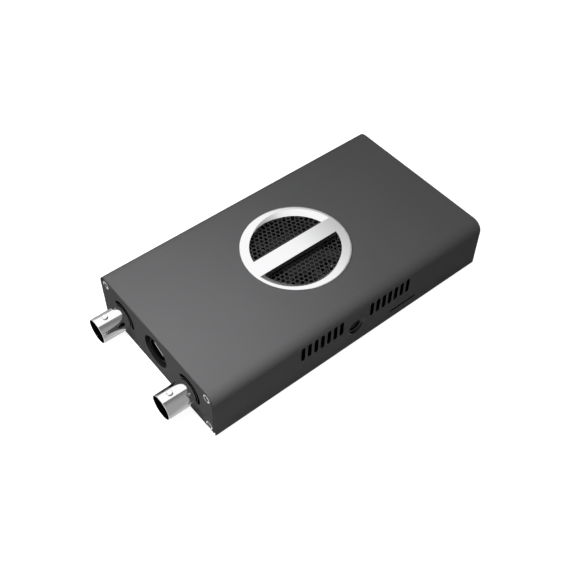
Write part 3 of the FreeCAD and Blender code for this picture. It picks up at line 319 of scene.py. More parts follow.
def eased_copy(node, width, material, body="housing"):
    """A copy of a node with its seams joined and its sharp edges rounded by a width in millimetres."""
    bm = bmesh.new()
    bm.from_mesh(nodes[node].data)
    bmesh.ops.remove_doubles(bm, verts=bm.verts, dist=seam_reach)
    bmesh.ops.dissolve_limit(bm, angle_limit=flat_angle, verts=bm.verts, edges=bm.edges)
    bmesh.ops.recalc_face_normals(bm, faces=bm.faces)
    piece = finished_piece(bm, node + "_eased", material, body)
    bevel = piece.modifiers.new("eased", "BEVEL")
    bevel.limit_method = "ANGLE"
    bevel.angle_limit = sharp_angle
    bevel.width = width * mm
    bevel.segments = 2
    piece.modifiers.new("flat_faces_flat", "WEIGHTED_NORMAL").weight = 100
    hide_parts(node)
    return piece


def dress(material, *names):
    """Gives a material to nodes of the model as they are."""
    for name in names:
        nodes[name].data.materials.clear()
        nodes[name].data.materials.append(material)


charcoal = finish("charcoal_coat", (0.078, 0.078, 0.08), (0.086, 0.086, 0.088), (0.5, 0.6), patch=40,
                  grain=2500, relief=0.006, gloss=0.0)
# A near-black material that is only painted shade: in cut openings, screw recesses and the card socket's
# mouth.
shade = finish("painted_opening_shade", (0.001, 0.001, 0.001), (0.002, 0.002, 0.002), (0.5, 0.6), patch=200,
               grain=3000, relief=0.002, gloss=0.0)
sleeve = eased_copy("sleeve", 0.06, charcoal)
# The walls of the vents and of the card slot take the painted shade.
sleeve.data.materials.append(shade)
wall, skin = 1.6 * mm, 0.05 * mm
cuts_foot, cuts_top, cuts_reach, upright_share = 1.2 * mm, 19 * mm, 61 * mm, 0.3
for face in sleeve.data.polygons:
    inside_wall = cad_high.x - wall < abs(face.center.x) < cad_high.x - skin
    level_with_cuts = cuts_foot < face.center.z < cuts_top and abs(face.center.y) < cuts_reach
    if abs(face.normal.x) < upright_share and inside_wall and level_with_cuts:
        face.material_index = 1
screw_inset, screw_clear = 1.75 * mm, 1.8 * mm
screw_low, screw_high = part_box("front_screws")
screw_x = screw_high.x - screw_inset
screw_levels = (screw_low.z + screw_inset, screw_high.z - screw_inset)
# The end plates take a slightly lighter copy of the charcoal coat, painted light for their lit faces.
plate_coat_painted_light = finish("plate_coat_painted_light", (0.09, 0.09, 0.092), (0.098, 0.098, 0.1), (0.5, 0.6), patch=40,
                    grain=2500, relief=0.006, gloss=0.0)
shadow_gap, rim_x, rim_top, rim_foot = 0.3 * mm, 27 * mm, 18.3 * mm, 1 * mm
for node in ("front_plate", "rear_plate"):
    plate = eased_copy(node, 0.1, plate_coat_painted_light)
    low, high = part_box(node)
    middle = (low + high) / 2
    for corner in plate.data.vertices:
        x, z = corner.co.x, corner.co.z
        from_screw = min(Vector((abs(x) - screw_x, z - level)).length for level in screw_levels)
        if from_screw > screw_clear and (abs(x) > rim_x or z > rim_top or z < rim_foot):
            corner.co.x = x * (1 - shadow_gap / high.x)
            corner.co.z = middle.z + (z - middle.z) * (1 - shadow_gap / (high.z - middle.z))

# Screws. Zinc-plated steel: countersunk ones in the end plates and the underside, flat-headed
# ones in the fan and the heatsink. Each has a grooved shank and a cross recess in painted shade.


def lines_group():
    """Fine marks of turning or drawing, which run square to one direction."""
    group = bpy.data.node_groups.new("lines", "ShaderNodeTree")
    group.interface.new_socket("Along", in_out="INPUT", socket_type="NodeSocketVector")
    group.interface.new_socket("Scale", in_out="INPUT", socket_type="NodeSocketFloat")
    group.interface.new_socket("Height", in_out="OUTPUT", socket_type="NodeSocketFloat")
    given = group.nodes.new("NodeGroupInput")
    result = group.nodes.new("NodeGroupOutput")
    place = group.nodes.new("ShaderNodeTexCoord")
    distance = group.nodes.new("ShaderNodeVectorMath")
    distance.operation = "DOT_PRODUCT"
    marks = group.nodes.new("ShaderNodeTexNoise")
    marks.noise_dimensions = "1D"
    marks.inputs["Detail"].default_value = 2
    group.links.new(place.outputs["Object"], distance.inputs[0])
    group.links.new(given.outputs["Along"], distance.inputs[1])
    group.links.new(distance.outputs["Value"], marks.inputs["W"])
    group.links.new(given.outputs["Scale"], marks.inputs["Scale"])
    group.links.new(marks.outputs["Fac"], result.inputs["Height"])
    return group


lines = lines_group()


def lined(material, along, scale, share):
    """Adds the lines to a material's relief. A share of 1 makes them as deep as its grain."""
    tree = material.node_tree
    marks = tree.nodes.new("ShaderNodeGroup")
    marks.node_tree = lines
    marks.inputs["Along"].default_value = along
    marks.inputs["Scale"].default_value = scale
    both = tree.nodes.new("ShaderNodeMath")
    both.operation = "MULTIPLY_ADD"
    both.inputs[1].default_value = share
    tree.links.new(marks.outputs["Height"], both.inputs[0])
    tree.links.new(tree.nodes["variation"].outputs["Height"], both.inputs[2])
    tree.links.new(both.outputs["Value"], tree.nodes["bump"].inputs["Height"])
    return material


def screw_mesh(head_r, cone, rim, shank_r, length, grooves):
    """One screw that points down, with the top of its head at the origin. Its cone is the height
    of a countersunk head, or below zero that of a flat one."""
    cross_half, cross_depth, floor_share = head_r * 0.66, head_r * 0.45, 0.75
    arm_half, arm_reach = cross_half * 0.25, cross_half * 0.85
    groove_r, tip_r, under_head = shank_r * 0.82, shank_r * 0.8, 0.05 * mm
    bm = bmesh.new()
    bmesh.ops.create_grid(bm, x_segments=10, y_segments=10, size=cross_half)
    cross = []
    for face in bm.faces:
        across, along = sorted(abs(share) for share in face.calc_center_median().xy)
        if across < arm_half and along < arm_reach:
            cross.append(face)
    sunk = bmesh.ops.extrude_face_region(bm, geom=cross)["geom"]
    moved = [v for v in sunk if isinstance(v, bmesh.types.BMVert)]
    bmesh.ops.delete(bm, geom=cross, context="FACES")
    bmesh.ops.scale(bm, verts=moved, vec=(floor_share, floor_share, 1))
    bmesh.ops.translate(bm, verts=moved, vec=(0, 0, -cross_depth))
    # The cross recess takes the second material, the painted shade.
    for face in {f for v in moved for f in v.link_faces}:
        face.material_index = 1
    outline = bmesh.ops.create_circle(bm, segments=40, radius=head_r - rim, cap_ends=False)["verts"]
    bmesh.ops.rotate(bm, verts=outline, matrix=Matrix.Rotation(radians(45), 3, "Z"))
    loops = [e for e in bm.edges if e.is_boundary or e.is_wire]
    bmesh.ops.bridge_loops(bm, edges=loops)
    edge = [e for e in bm.edges if e.is_boundary]
    steps = [(head_r, -rim)]
    if cone > 0:
        steps.append((shank_r, -cone))
    else:
        steps += [(head_r, cone), (shank_r, cone - under_head)]
    start = steps[-1][1]
    pitch = (length + start) / (grooves + 1)
    for k in range(grooves):
        steps.append((groove_r, start - (k + 0.5) * pitch))
        steps.append((shank_r, start - (k + 1) * pitch))
    steps.append((tip_r, -length))
    level, radius = 0.0, head_r - rim
    for r, z in steps:
        grown = bmesh.ops.extrude_edge_only(bm, edges=edge)["geom"]
        ring = [v for v in grown if isinstance(v, bmesh.types.BMVert)]
        edge = [e for e in grown if isinstance(e, bmesh.types.BMEdge)]
        bmesh.ops.scale(bm, verts=ring, vec=(r / radius, r / radius, 1))
        bmesh.ops.translate(bm, verts=ring, vec=(0, 0, z - level))
        level, radius = z, r
    bmesh.ops.contextual_create(bm, geom=edge)
    bmesh.ops.recalc_face_normals(bm, faces=bm.faces)
    mesh = bpy.data.meshes.new("screw")
    bm.to_mesh(mesh)
    bm.free()
    return mesh


def crisp(piece, angle):
    """Makes every edge of a piece that is sharper than an angle in degrees look sharp."""
    piece.modifiers.new("crisp", "EDGE_SPLIT").split_angle = radians(angle)


first_turn, next_turn = 25, 67


def screws(name, node, mesh, places, outward):
    """Copies of one screw at places, with their heads facing outward and each turned differently."""
    facing = Vector(outward).to_track_quat("Z", "Y").to_matrix()
    bm = bmesh.new()
    for k, place in enumerate(places):
        before = len(bm.verts)
        bm.from_mesh(mesh)
        bm.verts.ensure_lookup_table()
        fresh = bm.verts[before:]
        turned = Matrix.Rotation(radians(first_turn + next_turn * k), 3, "Z")
        bmesh.ops.rotate(bm, verts=fresh, matrix=facing @ turned)
        bmesh.ops.translate(bm, verts=fresh, vec=place)
    piece = finished_piece(bm, name, zinc)
    # The second material is the near-black painted shade of the cross recesses.
    piece.data.materials.append(shade)
    crisp(piece, 30)
    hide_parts(node)


def corner_places(low, high, inset, level):
    """The four corners of a box at one level, moved in by an inset."""
    return [(x, y, level) for x in (low.x + inset, high.x - inset) for y in (low.y + inset, high.y - inset)]


zinc = finish("zinc_plated_steel", (0.9, 0.9, 0.9), (0.95, 0.95, 0.96), (0.22, 0.35), patch=300, grain=4000,
              relief=0.002, metal=1)
plate_screw = screw_mesh(head_r=1.7 * mm, cone=0.9 * mm, rim=0.08 * mm, shank_r=1.0 * mm, length=6.9 * mm,
                         grooves=14)
for node, y, outward in (("front_screws", screw_low.y, (0, -1, 0)),
                         ("rear_screws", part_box("rear_screws")[1].y, (0, 1, 0))):
    places = [(side * screw_x, y, z) for side in (-1, 1) for z in screw_levels]
    screws(node[:-1] + "_set", node, plate_screw, places, outward)
low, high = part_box("board_screws")
board_screw = screw_mesh(head_r=2.15 * mm, cone=1.0 * mm, rim=0.08 * mm, shank_r=1.25 * mm,
                         length=high.z - low.z, grooves=12)
places = corner_places(low, high, inset=2.2 * mm, level=low.z)
screws("board_screw_set", "board_screws", board_screw, places, (0, 0, -1))
low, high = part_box("fan_screws")
fan_screw = screw_mesh(head_r=2.08 * mm, cone=-0.8 * mm, rim=0.1 * mm, shank_r=1.2 * mm,
                       length=high.z - low.z, grooves=14)
places = corner_places(low, high, inset=2.1 * mm, level=high.z)
screws("fan_screw_set", "fan_screws", fan_screw, places, (0, 0, 1))
low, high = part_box("heatsink_screws")
heatsink_screw = screw_mesh(head_r=1.68 * mm, cone=-0.75 * mm, rim=0.08 * mm, shank_r=0.9 * mm,
                            length=high.z - low.z, grooves=8)
heatsink_inset = 1.7 * mm
reach = high.x - heatsink_inset
places = [(reach, 0, low.z), (-reach, 0, low.z), (0, reach, low.z), (0, -reach, low.z)]
screws("heatsink_screw_set", "heatsink_screws", heatsink_screw, places, (0, 0, -1))

# Camera bush in the right side. A turned steel bush, coated over like the side round it, with its
# 1/4 inch thread as one coiled ridge. The steel is near-black, painted shade for the deep hole.
# The bush's steel is near-black, painted shade for its deep hole.
bush_steel_painted_shade = lined(finish("turned_steel_painted_shade", (0.022, 0.022, 0.023), (0.034, 0.034, 0.035), (0.3, 0.4),
                          patch=200, grain=4000, relief=0.002, metal=1), (1, 0, 0), scale=6000, share=1.0)
bush = eased_copy("tripod_insert", 0.14, bush_steel_painted_shade)
bush.data.materials.append(charcoal)
low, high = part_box("tripod_insert")
for face in bush.data.polygons:
    face.material_index = int(face.center.x > high.x - skin)
thread_r, thread_pitch, thread_turns, steps_per_turn = 3.175 * mm, 1.27 * mm, 5, 40
ridge_width, ridge_height, crest_share, thread_start = 0.85 * thread_pitch, 0.5 * mm, 0.2, 0.8 * mm
middle_z = (low.z + high.z) / 2
bm = bmesh.new()
bmesh.ops.create_grid(bm, x_segments=1, y_segments=1, size=0.5)
bmesh.ops.scale(bm, verts=bm.verts, vec=(ridge_width, ridge_height, 1))
crest = [v for v in bm.verts if v.co.y < 0]
bmesh.ops.scale(bm, verts=crest, vec=(crest_share, 1, 1))
bmesh.ops.rotate(bm, verts=bm.verts, matrix=Matrix.Rotation(pi / 2, 3, "X"))
foot = (low.x + thread_start, 0, middle_z + thread_r - ridge_height / 2)
bmesh.ops.translate(bm, verts=bm.verts, vec=foot)
bmesh.ops.spin(bm, geom=bm.verts[:] + bm.edges[:] + bm.faces[:], cent=(0, 0, middle_z), axis=(1, 0, 0),
               dvec=(thread_pitch / steps_per_turn, 0, 0), angle=2 * pi * thread_turns,
               steps=steps_per_turn * thread_turns, use_merge=False, use_duplicate=False)
bmesh.ops.recalc_face_normals(bm, faces=bm.faces)
thread = finished_piece(bm, "bush_thread", bush_steel_painted_shade)
crisp(thread, 30)

# Ring and bar over the fan. One polished, bright-plated piece, level on top. Beside each long edge
# of the bar a crescent-shaped hollow slopes from the rim to the opening, deepest at one bar end. The
# bar's long sides get a darker copy of the plating as painted shade.
polish = finish("bright_plating", (0.93, 0.93, 0.94), (0.97, 0.97, 0.98), (0.05, 0.09), patch=60,
                grain=3000, relief=0.0004, metal=1)
satin = finish("hollow_plating", (0.93, 0.93, 0.94), (0.97, 0.97, 0.98), (0.32, 0.38), patch=60, grain=3000,
               relief=0.0004, metal=1)
bar_side_painted_shade = finish("bar_side_painted_shade", (0.3, 0.3, 0.3), (0.36, 0.36, 0.36), (0.3, 0.36), patch=60, grain=3000,
                  relief=0.001, metal=1)
ring_low, ring_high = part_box("grille_ring")
outer_r, top = ring_high.x, ring_high.z
opening_r, spigot_r, proud, rim_width, rim_round = 16.95 * mm, 19.2 * mm, 0.8 * mm, 0.7 * mm, 0.35 * mm
crescent_r, crescent_shift, crescent_way, crescent_drop = 17.4 * mm, 2.05 * mm, radians(107.5), 1.45 * mm
least_slope, slope_drop, foot_below, hair = 0.05 * mm, 0.9, 1 * mm, 0.01 * mm
bar_half, bar_thick, bar_short, bar_sink = 3.45 * mm, 2.3 * mm, 1 * mm, 0.005 * mm
steep, nearly_level, upright, ring_steps = 0.3, 0.995, 0.9, 192


def turned(outline, closed, rounded, radius, segments, centre, axis, steps):
    """A mesh turned about an axis through a centre from an outline, one corner of which is rounded."""
    bm = bmesh.new()
    corners = [bm.verts.new(point) for point in outline]
    following = corners[1:] + corners[:1] if closed else corners[1:]
    for first, second in zip(corners, following):
        bm.edges.new((first, second))
    bmesh.ops.bevel(bm, geom=[corners[rounded]], offset=radius, segments=segments, profile=0.5,
                    affect="VERTICES", material=-1)
    bmesh.ops.spin(bm, geom=bm.verts[:] + bm.edges[:], cent=centre, axis=axis, angle=2 * pi, steps=steps,
                   use_merge=True)
    return bm


profile = [(outer_r - rim_width, top), (outer_r, top), (outer_r, top - proud), (spigot_r, top - proud),
           (spigot_r, ring_low.z), (opening_r, ring_low.z), (opening_r, top - crescent_drop)]
bm = turned([(r, 0, z) for r, z in profile], closed=False, rounded=1, radius=rim_round, segments=4,
            centre=(0, 0, 0), axis=(0, 0, 1), steps=ring_steps)
rim_edge = [e for e in bm.edges if e.is_boundary and e.verts[0].co.z > top - hair]
wall_edge = [e for e in bm.edges if e.is_boundary and e not in rim_edge]
crest = bmesh.ops.create_circle(bm, segments=ring_steps, radius=opening_r, cap_ends=False,
                                matrix=Matrix.Translation((0, 0, top)))["verts"]
crest_edge = list({e for v in crest for e in v.link_edges})
bmesh.ops.bridge_loops(bm, edges=rim_edge + crest_edge)
bmesh.ops.bridge_loops(bm, edges=crest_edge + wall_edge)
feet_of = {}
for corner in crest:
    joined = [e.other_vert(corner) for e in corner.link_edges]
    feet_of[corner] = [foot for foot in joined if foot.co.z < top - foot_below]
hollow_way = Vector((cos(crescent_way), sin(crescent_way), 0))
for corner in crest:
    outward = Vector((corner.co.x, corner.co.y, 0)).normalized()
    lean = outward.dot(hollow_way) * (1 if corner.co.x < 0 else -1)
    reach = max(opening_r + least_slope, crescent_r + crescent_shift * lean)
    corner.co = outward * reach + Vector((0, 0, top))
    for foot in feet_of[corner]:
        foot.co.z = top - min(crescent_drop, slope_drop * (reach - opening_r))
bar = bmesh.ops.create_cube(bm, size=1)["verts"]
bmesh.ops.scale(bm, verts=bar, vec=(2 * bar_half, 2 * (outer_r - bar_short), bar_thick))
bmesh.ops.translate(bm, verts=bar, vec=(0, 0, top - bar_thick / 2 - bar_sink))
bmesh.ops.recalc_face_normals(bm, faces=bm.faces)
bm.normal_update()
for face in bm.faces:
    centre = face.calc_center_median()
    in_hollow = centre.xy.length < crescent_r + crescent_shift and centre.z > top - crescent_drop
    face.material_index = int(in_hollow and steep < face.normal.z < nearly_level)
# The bar's long sides take a darker copy of the plating, painted shade.
for face in {f for v in bar for f in v.link_faces}:
    if abs(face.normal.x) > upright:
        face.material_index = 2
ring = finished_piece(bm, "ring_and_bar", polish)
ring.data.materials.append(satin)
ring.data.materials.append(bar_side_painted_shade)
crisp(ring, 24)
ring.modifiers.new("even", "WEIGHTED_NORMAL").weight = 100
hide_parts("grille_ring")

# Honeycomb mesh under the ring. Punched sheet steel, blackened and satin, held down by the ring
# and pierced right up to the edge of its opening.
mesh_coat = finish("blackened_mesh", (0.055, 0.055, 0.056), (0.07, 0.07, 0.071), (0.2, 0.26), patch=80,
                   grain=3500, relief=0.002, metal=1)
sheet_low, sheet_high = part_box("grille_mesh")
pitch, web, past_opening, corner_reach = 1.91 * mm, 0.45 * mm, 0.4 * mm, 0.02 * mm
column_step, cell_r, columns, rows = pitch * 0.8660, pitch / 1.7321, 11, 10
bm = bmesh.new()
for column in range(-columns, columns + 1):
    for row in range(-rows, rows + 1):
        spot = Vector((column * column_step, (row + 0.5 * (column % 2)) * pitch, sheet_high.z))
        if spot.xy.length < opening_r + past_opening:
            bmesh.ops.create_circle(bm, cap_ends=True, segments=6, radius=cell_r,
                                    matrix=Matrix.Translation(spot) @ Matrix.Rotation(pi / 2, 4, "Z"))
bmesh.ops.remove_doubles(bm, verts=bm.verts, dist=corner_reach)
cells = bm.faces[:]
bmesh.ops.inset_individual(bm, faces=cells, thickness=web / 2, use_even_offset=True)
bmesh.ops.delete(bm, geom=cells, context="FACES_ONLY")
bmesh.ops.recalc_face_normals(bm, faces=bm.faces)
if sum(face.normal.z for face in bm.faces) < 0:
    bmesh.ops.reverse_faces(bm, faces=bm.faces)
honeycomb = finished_piece(bm, "honeycomb_sheet", mesh_coat)
thickness = honeycomb.modifiers.new("sheet", "SOLIDIFY")
thickness.thickness = sheet_high.z - sheet_low.z
thickness.offset = -1
crisp(honeycomb, 30)
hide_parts("grille_mesh")

# Fan. A moulded black frame and a moulded rotor of curved blades on a steel shaft in a bronze
# sleeve. The magnet, the laminated stator and the copper windings sit inside the hub, and a short
# flat lead runs to a header on the board.


def bands_group():
    """Rounded ridges side by side along one direction, as wires or layers of tape lie."""
    group = bpy.data.node_groups.new("bands", "ShaderNodeTree")
    group.interface.new_socket("Along", in_out="INPUT", socket_type="NodeSocketVector")
    group.interface.new_socket("Turns Per Metre", in_out="INPUT", socket_type="NodeSocketFloat")
    group.interface.new_socket("Height", in_out="OUTPUT", socket_type="NodeSocketFloat")
    given = group.nodes.new("NodeGroupInput")
    result = group.nodes.new("NodeGroupOutput")
    place = group.nodes.new("ShaderNodeTexCoord")
    distance = group.nodes.new("ShaderNodeVectorMath")
    distance.operation = "DOT_PRODUCT"
    turns = group.nodes.new("ShaderNodeMath")
    turns.operation = "MULTIPLY"
    swing = group.nodes.new("ShaderNodeMath")
    swing.operation = "SINE"
    ridge = group.nodes.new("ShaderNodeMath")
    ridge.operation = "ABSOLUTE"
    group.links.new(place.outputs["Object"], distance.inputs[0])
    group.links.new(given.outputs["Along"], distance.inputs[1])
    group.links.new(distance.outputs["Value"], turns.inputs[0])
    group.links.new(given.outputs["Turns Per Metre"], turns.inputs[1])
    group.links.new(turns.outputs["Value"], swing.inputs[0])
    group.links.new(swing.outputs["Value"], ridge.inputs[0])
    group.links.new(ridge.outputs["Value"], result.inputs["Height"])
    return group


bands = bands_group()


def banded(material, along, spacing, depth):
    """Gives a material ridges at a spacing and depth in millimetres, with painted shade between them."""
    tree = material.node_tree
    ridges = tree.nodes.new("ShaderNodeGroup")
    ridges.node_tree = bands
    ridges.inputs["Along"].default_value = along
    ridges.inputs["Turns Per Metre"].default_value = pi / (spacing * mm)
    tree.links.new(ridges.outputs["Height"], tree.nodes["bump"].inputs["Height"])
    tree.nodes["bump"].inputs["Distance"].default_value = depth * mm
    # Painted shade: the colour darkens between the ridges, where shade would fall.
    between = tree.nodes.new("ShaderNodeMapRange")
    between.inputs["To Min"].default_value = 0.45
    groove_shaded = tree.nodes.new("ShaderNodeMix")
    groove_shaded.data_type = "RGBA"
    groove_shaded.blend_type = "MULTIPLY"
    groove_shaded.inputs["Factor"].default_value = 1
    tree.links.new(ridges.outputs["Height"], between.inputs["Value"])
    tree.links.new(tree.nodes["variation"].outputs["Colour"], groove_shaded.inputs["A"])
    tree.links.new(between.outputs["Result"], groove_shaded.inputs["B"])
    tree.links.new(groove_shaded.outputs["Result"], tree.nodes["Principled BSDF"].inputs["Base Color"])
    return material


fan_plastic = finish("fan_plastic", (0.018, 0.018, 0.019), (0.028, 0.028, 0.03), (0.35, 0.5), patch=120,
                     grain=2500, relief=0.004)
dress(fan_plastic, "fan_frame")
blade_plastic = finish("blade_plastic", (0.012, 0.012, 0.012), (0.018, 0.018, 0.018), (0.3, 0.4), patch=120,
                       grain=2500, relief=0.002)
dress(blade_plastic, "fan_rotor")
bronze = lined(finish("sintered_bronze", (0.42, 0.25, 0.11), (0.5, 0.31, 0.15), (0.35, 0.5), patch=600,
                      grain=6000, relief=0.006, metal=1), (0, 0, 1), scale=9000, share=0.6)
dress(bronze, "fan_bearing")
ground_steel = lined(finish("ground_steel", (0.6, 0.6, 0.61), (0.68, 0.68, 0.69), (0.12, 0.2), patch=300,
                            grain=5000, relief=0.001, metal=1), (0, 0, 1), scale=12000, share=1.0)
dress(ground_steel, "fan_shaft")
ferrite = finish("ferrite", (0.03, 0.029, 0.028), (0.05, 0.048, 0.046), (0.5, 0.65), patch=400, grain=4000,
                 relief=0.008)
dress(ferrite, "fan_magnet")
laminations = banded(finish("laminated_steel", (0.3, 0.3, 0.31), (0.42, 0.42, 0.43), (0.3, 0.45), patch=300,
                            grain=3000, relief=0.01, metal=1), (0, 0, 1), spacing=0.35, depth=0.02)
dress(laminations, "fan_stator")
copper = banded(finish("enamelled_copper", (0.5, 0.17, 0.06), (0.62, 0.24, 0.1), (0.25, 0.35), patch=300,
                       grain=3000, relief=0.002, metal=1, coat=0.6), (0.7071, 0.7071, 0), spacing=0.12,
                depth=0.05)
dress(copper, "fan_coils")
ribbon = banded(finish("ribbon_covering", (0.014, 0.014, 0.014), (0.024, 0.024, 0.024), (0.45, 0.6),
                       patch=200, grain=3000, relief=0.004), (0, 1, 0), spacing=1.333, depth=0.35)
dress(ribbon, "fan_lead")
header_plastic = finish("header_plastic", (0.018, 0.018, 0.018), (0.026, 0.026, 0.026), (0.4, 0.5),
                        patch=200, grain=3000, relief=0.003)
eased_copy("fan_header", 0.1, header_plastic)

# Heatsink between the fan and the processor. Extruded and machined aluminium, clear anodised, on a
# soft grey silicone pad that lies on the chip.
anodised = lined(finish("anodised_aluminium", (0.66, 0.67, 0.68), (0.74, 0.75, 0.76), (0.35, 0.45),
                        patch=90, grain=4000, relief=0.003, metal=1), (0, 1, 0), scale=5000, share=1.5)
dress(anodised, "heatsink")
silicone = finish("silicone_pad", (0.2, 0.21, 0.23), (0.26, 0.27, 0.29), (0.7, 0.85), patch=500, grain=3000,
                  relief=0.01)
dress(silicone, "thermal_pad")

# Circuit board. Glass-fibre laminate under green solder mask, with raised copper tracks, gilt
# via rings, and hexagonal brass spacers and nuts at its screws.
board_mask = finish("board_mask", (0.006, 0.07, 0.03), (0.01, 0.1, 0.045), (0.25, 0.35), patch=60,
                    grain=3000, relief=0.002, coat=0.3)
track_scale, track_width, via_scale, via_size, track_height = 260, 0.035, 170, 0.07, 0.03 * mm
tree = board_mask.node_tree
shader = tree.nodes["Principled BSDF"]
place = tree.nodes.new("ShaderNodeTexCoord")
routes = tree.nodes.new("ShaderNodeTexBrick")
routes.inputs["Scale"].default_value = track_scale
routes.inputs["Mortar Size"].default_value = track_width
routes.inputs["Color1"].default_value = (0, 0, 0, 1)
routes.inputs["Color2"].default_value = (0, 0, 0, 1)
routes.inputs["Mortar"].default_value = (1, 1, 1, 1)
vias = tree.nodes.new("ShaderNodeTexVoronoi")
vias.inputs["Scale"].default_value = via_scale
ring_mask = tree.nodes.new("ShaderNodeMath")
ring_mask.operation = "LESS_THAN"
ring_mask.inputs[1].default_value = via_size
track_tint = tree.nodes.new("ShaderNodeMix")
track_tint.data_type = "RGBA"
track_tint.inputs["B"].default_value = (0.02, 0.19, 0.08, 1)
gilt_tint = tree.nodes.new("ShaderNodeMix")
gilt_tint.data_type = "RGBA"
gilt_tint.inputs["B"].default_value = (0.75, 0.55, 0.2, 1)
raised = tree.nodes.new("ShaderNodeMath")
raised.operation = "MAXIMUM"
tree.links.new(place.outputs["Object"], routes.inputs["Vector"])
tree.links.new(place.outputs["Object"], vias.inputs["Vector"])
tree.links.new(vias.outputs["Distance"], ring_mask.inputs[0])
tree.links.new(routes.outputs["Fac"], track_tint.inputs["Factor"])
tree.links.new(tree.nodes["variation"].outputs["Colour"], track_tint.inputs["A"])
tree.links.new(track_tint.outputs["Result"], gilt_tint.inputs["A"])
tree.links.new(ring_mask.outputs["Value"], gilt_tint.inputs["Factor"])
tree.links.new(gilt_tint.outputs["Result"], shader.inputs["Base Color"])
tree.links.new(ring_mask.outputs["Value"], shader.inputs["Metallic"])
tree.links.new(routes.outputs["Fac"], raised.inputs[0])
tree.links.new(ring_mask.outputs["Value"], raised.inputs[1])
tree.links.new(raised.outputs["Value"], tree.nodes["bump"].inputs["Height"])
tree.nodes["bump"].inputs["Distance"].default_value = track_height
dress(board_mask, "main_board")
brass = lined(finish("brass", (0.62, 0.45, 0.18), (0.7, 0.53, 0.24), (0.22, 0.32), patch=300, grain=4000,
                     relief=0.002, metal=1), (0, 0, 1), scale=7000, share=1.0)
for node in ("board_spacers", "board_nuts"):
    eased_copy(node, 0.12, brass)

# Parts on the board. Black epoxy packages, resin-coated inductors, a taped transformer and
# capacitors in plain aluminium cans, all soldered down.
epoxy = finish("chip_epoxy", (0.02, 0.02, 0.021), (0.03, 0.03, 0.031), (0.45, 0.6), patch=250, grain=5000,
               relief=0.004)
for node in ("processor_chip", "memory_chips", "network_chip"):
    eased_copy(node, 0.08, epoxy)
inductor_resin = finish("inductor_resin", (0.1, 0.1, 0.1), (0.16, 0.16, 0.16), (0.5, 0.65), patch=900,
                        grain=5000, relief=0.012)
eased_copy("power_inductors", 0.2, inductor_resin)
tape = banded(finish("transformer_tape", (0.62, 0.48, 0.09), (0.72, 0.57, 0.14), (0.25, 0.35), patch=200,
                     grain=3000, relief=0.002, coat=0.4), (0, 0, 1), spacing=2.4, depth=0.06)
eased_copy("power_transformer", 0.15, tape)
can = lined(finish("capacitor_can", (0.6, 0.6, 0.6), (0.7, 0.7, 0.7), (0.2, 0.3), patch=200, grain=4000,
                   relief=0.002, metal=1), (0, 0, 1), scale=3000, share=1.0)
eased_copy("board_capacitors", 0.25, can)

# Coaxial jacks. Each has a turned, nickel-plated barrel with a rounded mouth, a bore darkened with
# painted shade and two bayonet lugs; inside it a slotted gilt contact in a white insulator, and a
# die-cast base behind.
nickel = finish("nickel_plating", (0.965, 0.965, 0.96), (0.985, 0.985, 0.98), (0.05, 0.09), patch=60,
                grain=3000, relief=0.0004, metal=1)
bore_painted_shade = finish("painted_bore_shade", (0.001, 0.001, 0.001), (0.002, 0.002, 0.002), (0.5, 0.6), patch=200,
                    grain=3000, relief=0.002, gloss=0.0)
bore_r, mouth_r, barrel_r, tail_r = 4.15 * mm, 4.66 * mm, 4.8 * mm, 4.2 * mm
bore_depth, mouth_depth, mouth_round, mouth_lip = 5.2 * mm, 0.8 * mm, 0.1 * mm, 0.1 * mm
lug_r, lug_root, lug_tip, lug_round, lug_place = 0.95 * mm, 4.5 * mm, 5.45 * mm, 0.09 * mm, 4.1 * mm
seam_r, seam_top = lug_r + 0.14 * mm, barrel_r - 0.01 * mm


def barrel_pin(bm, radius, place, way, tip):
    """A pin across a barrel at a place on its axis, from inside its wall up or down to a tip."""
    stand = Matrix.Translation((place.x, place.y, place.z + way * (lug_root + tip) / 2))
    return bmesh.ops.create_cone(bm, cap_ends=True, segments=32, radius1=radius, radius2=radius,
                                 depth=tip - lug_root, matrix=stand)["verts"]


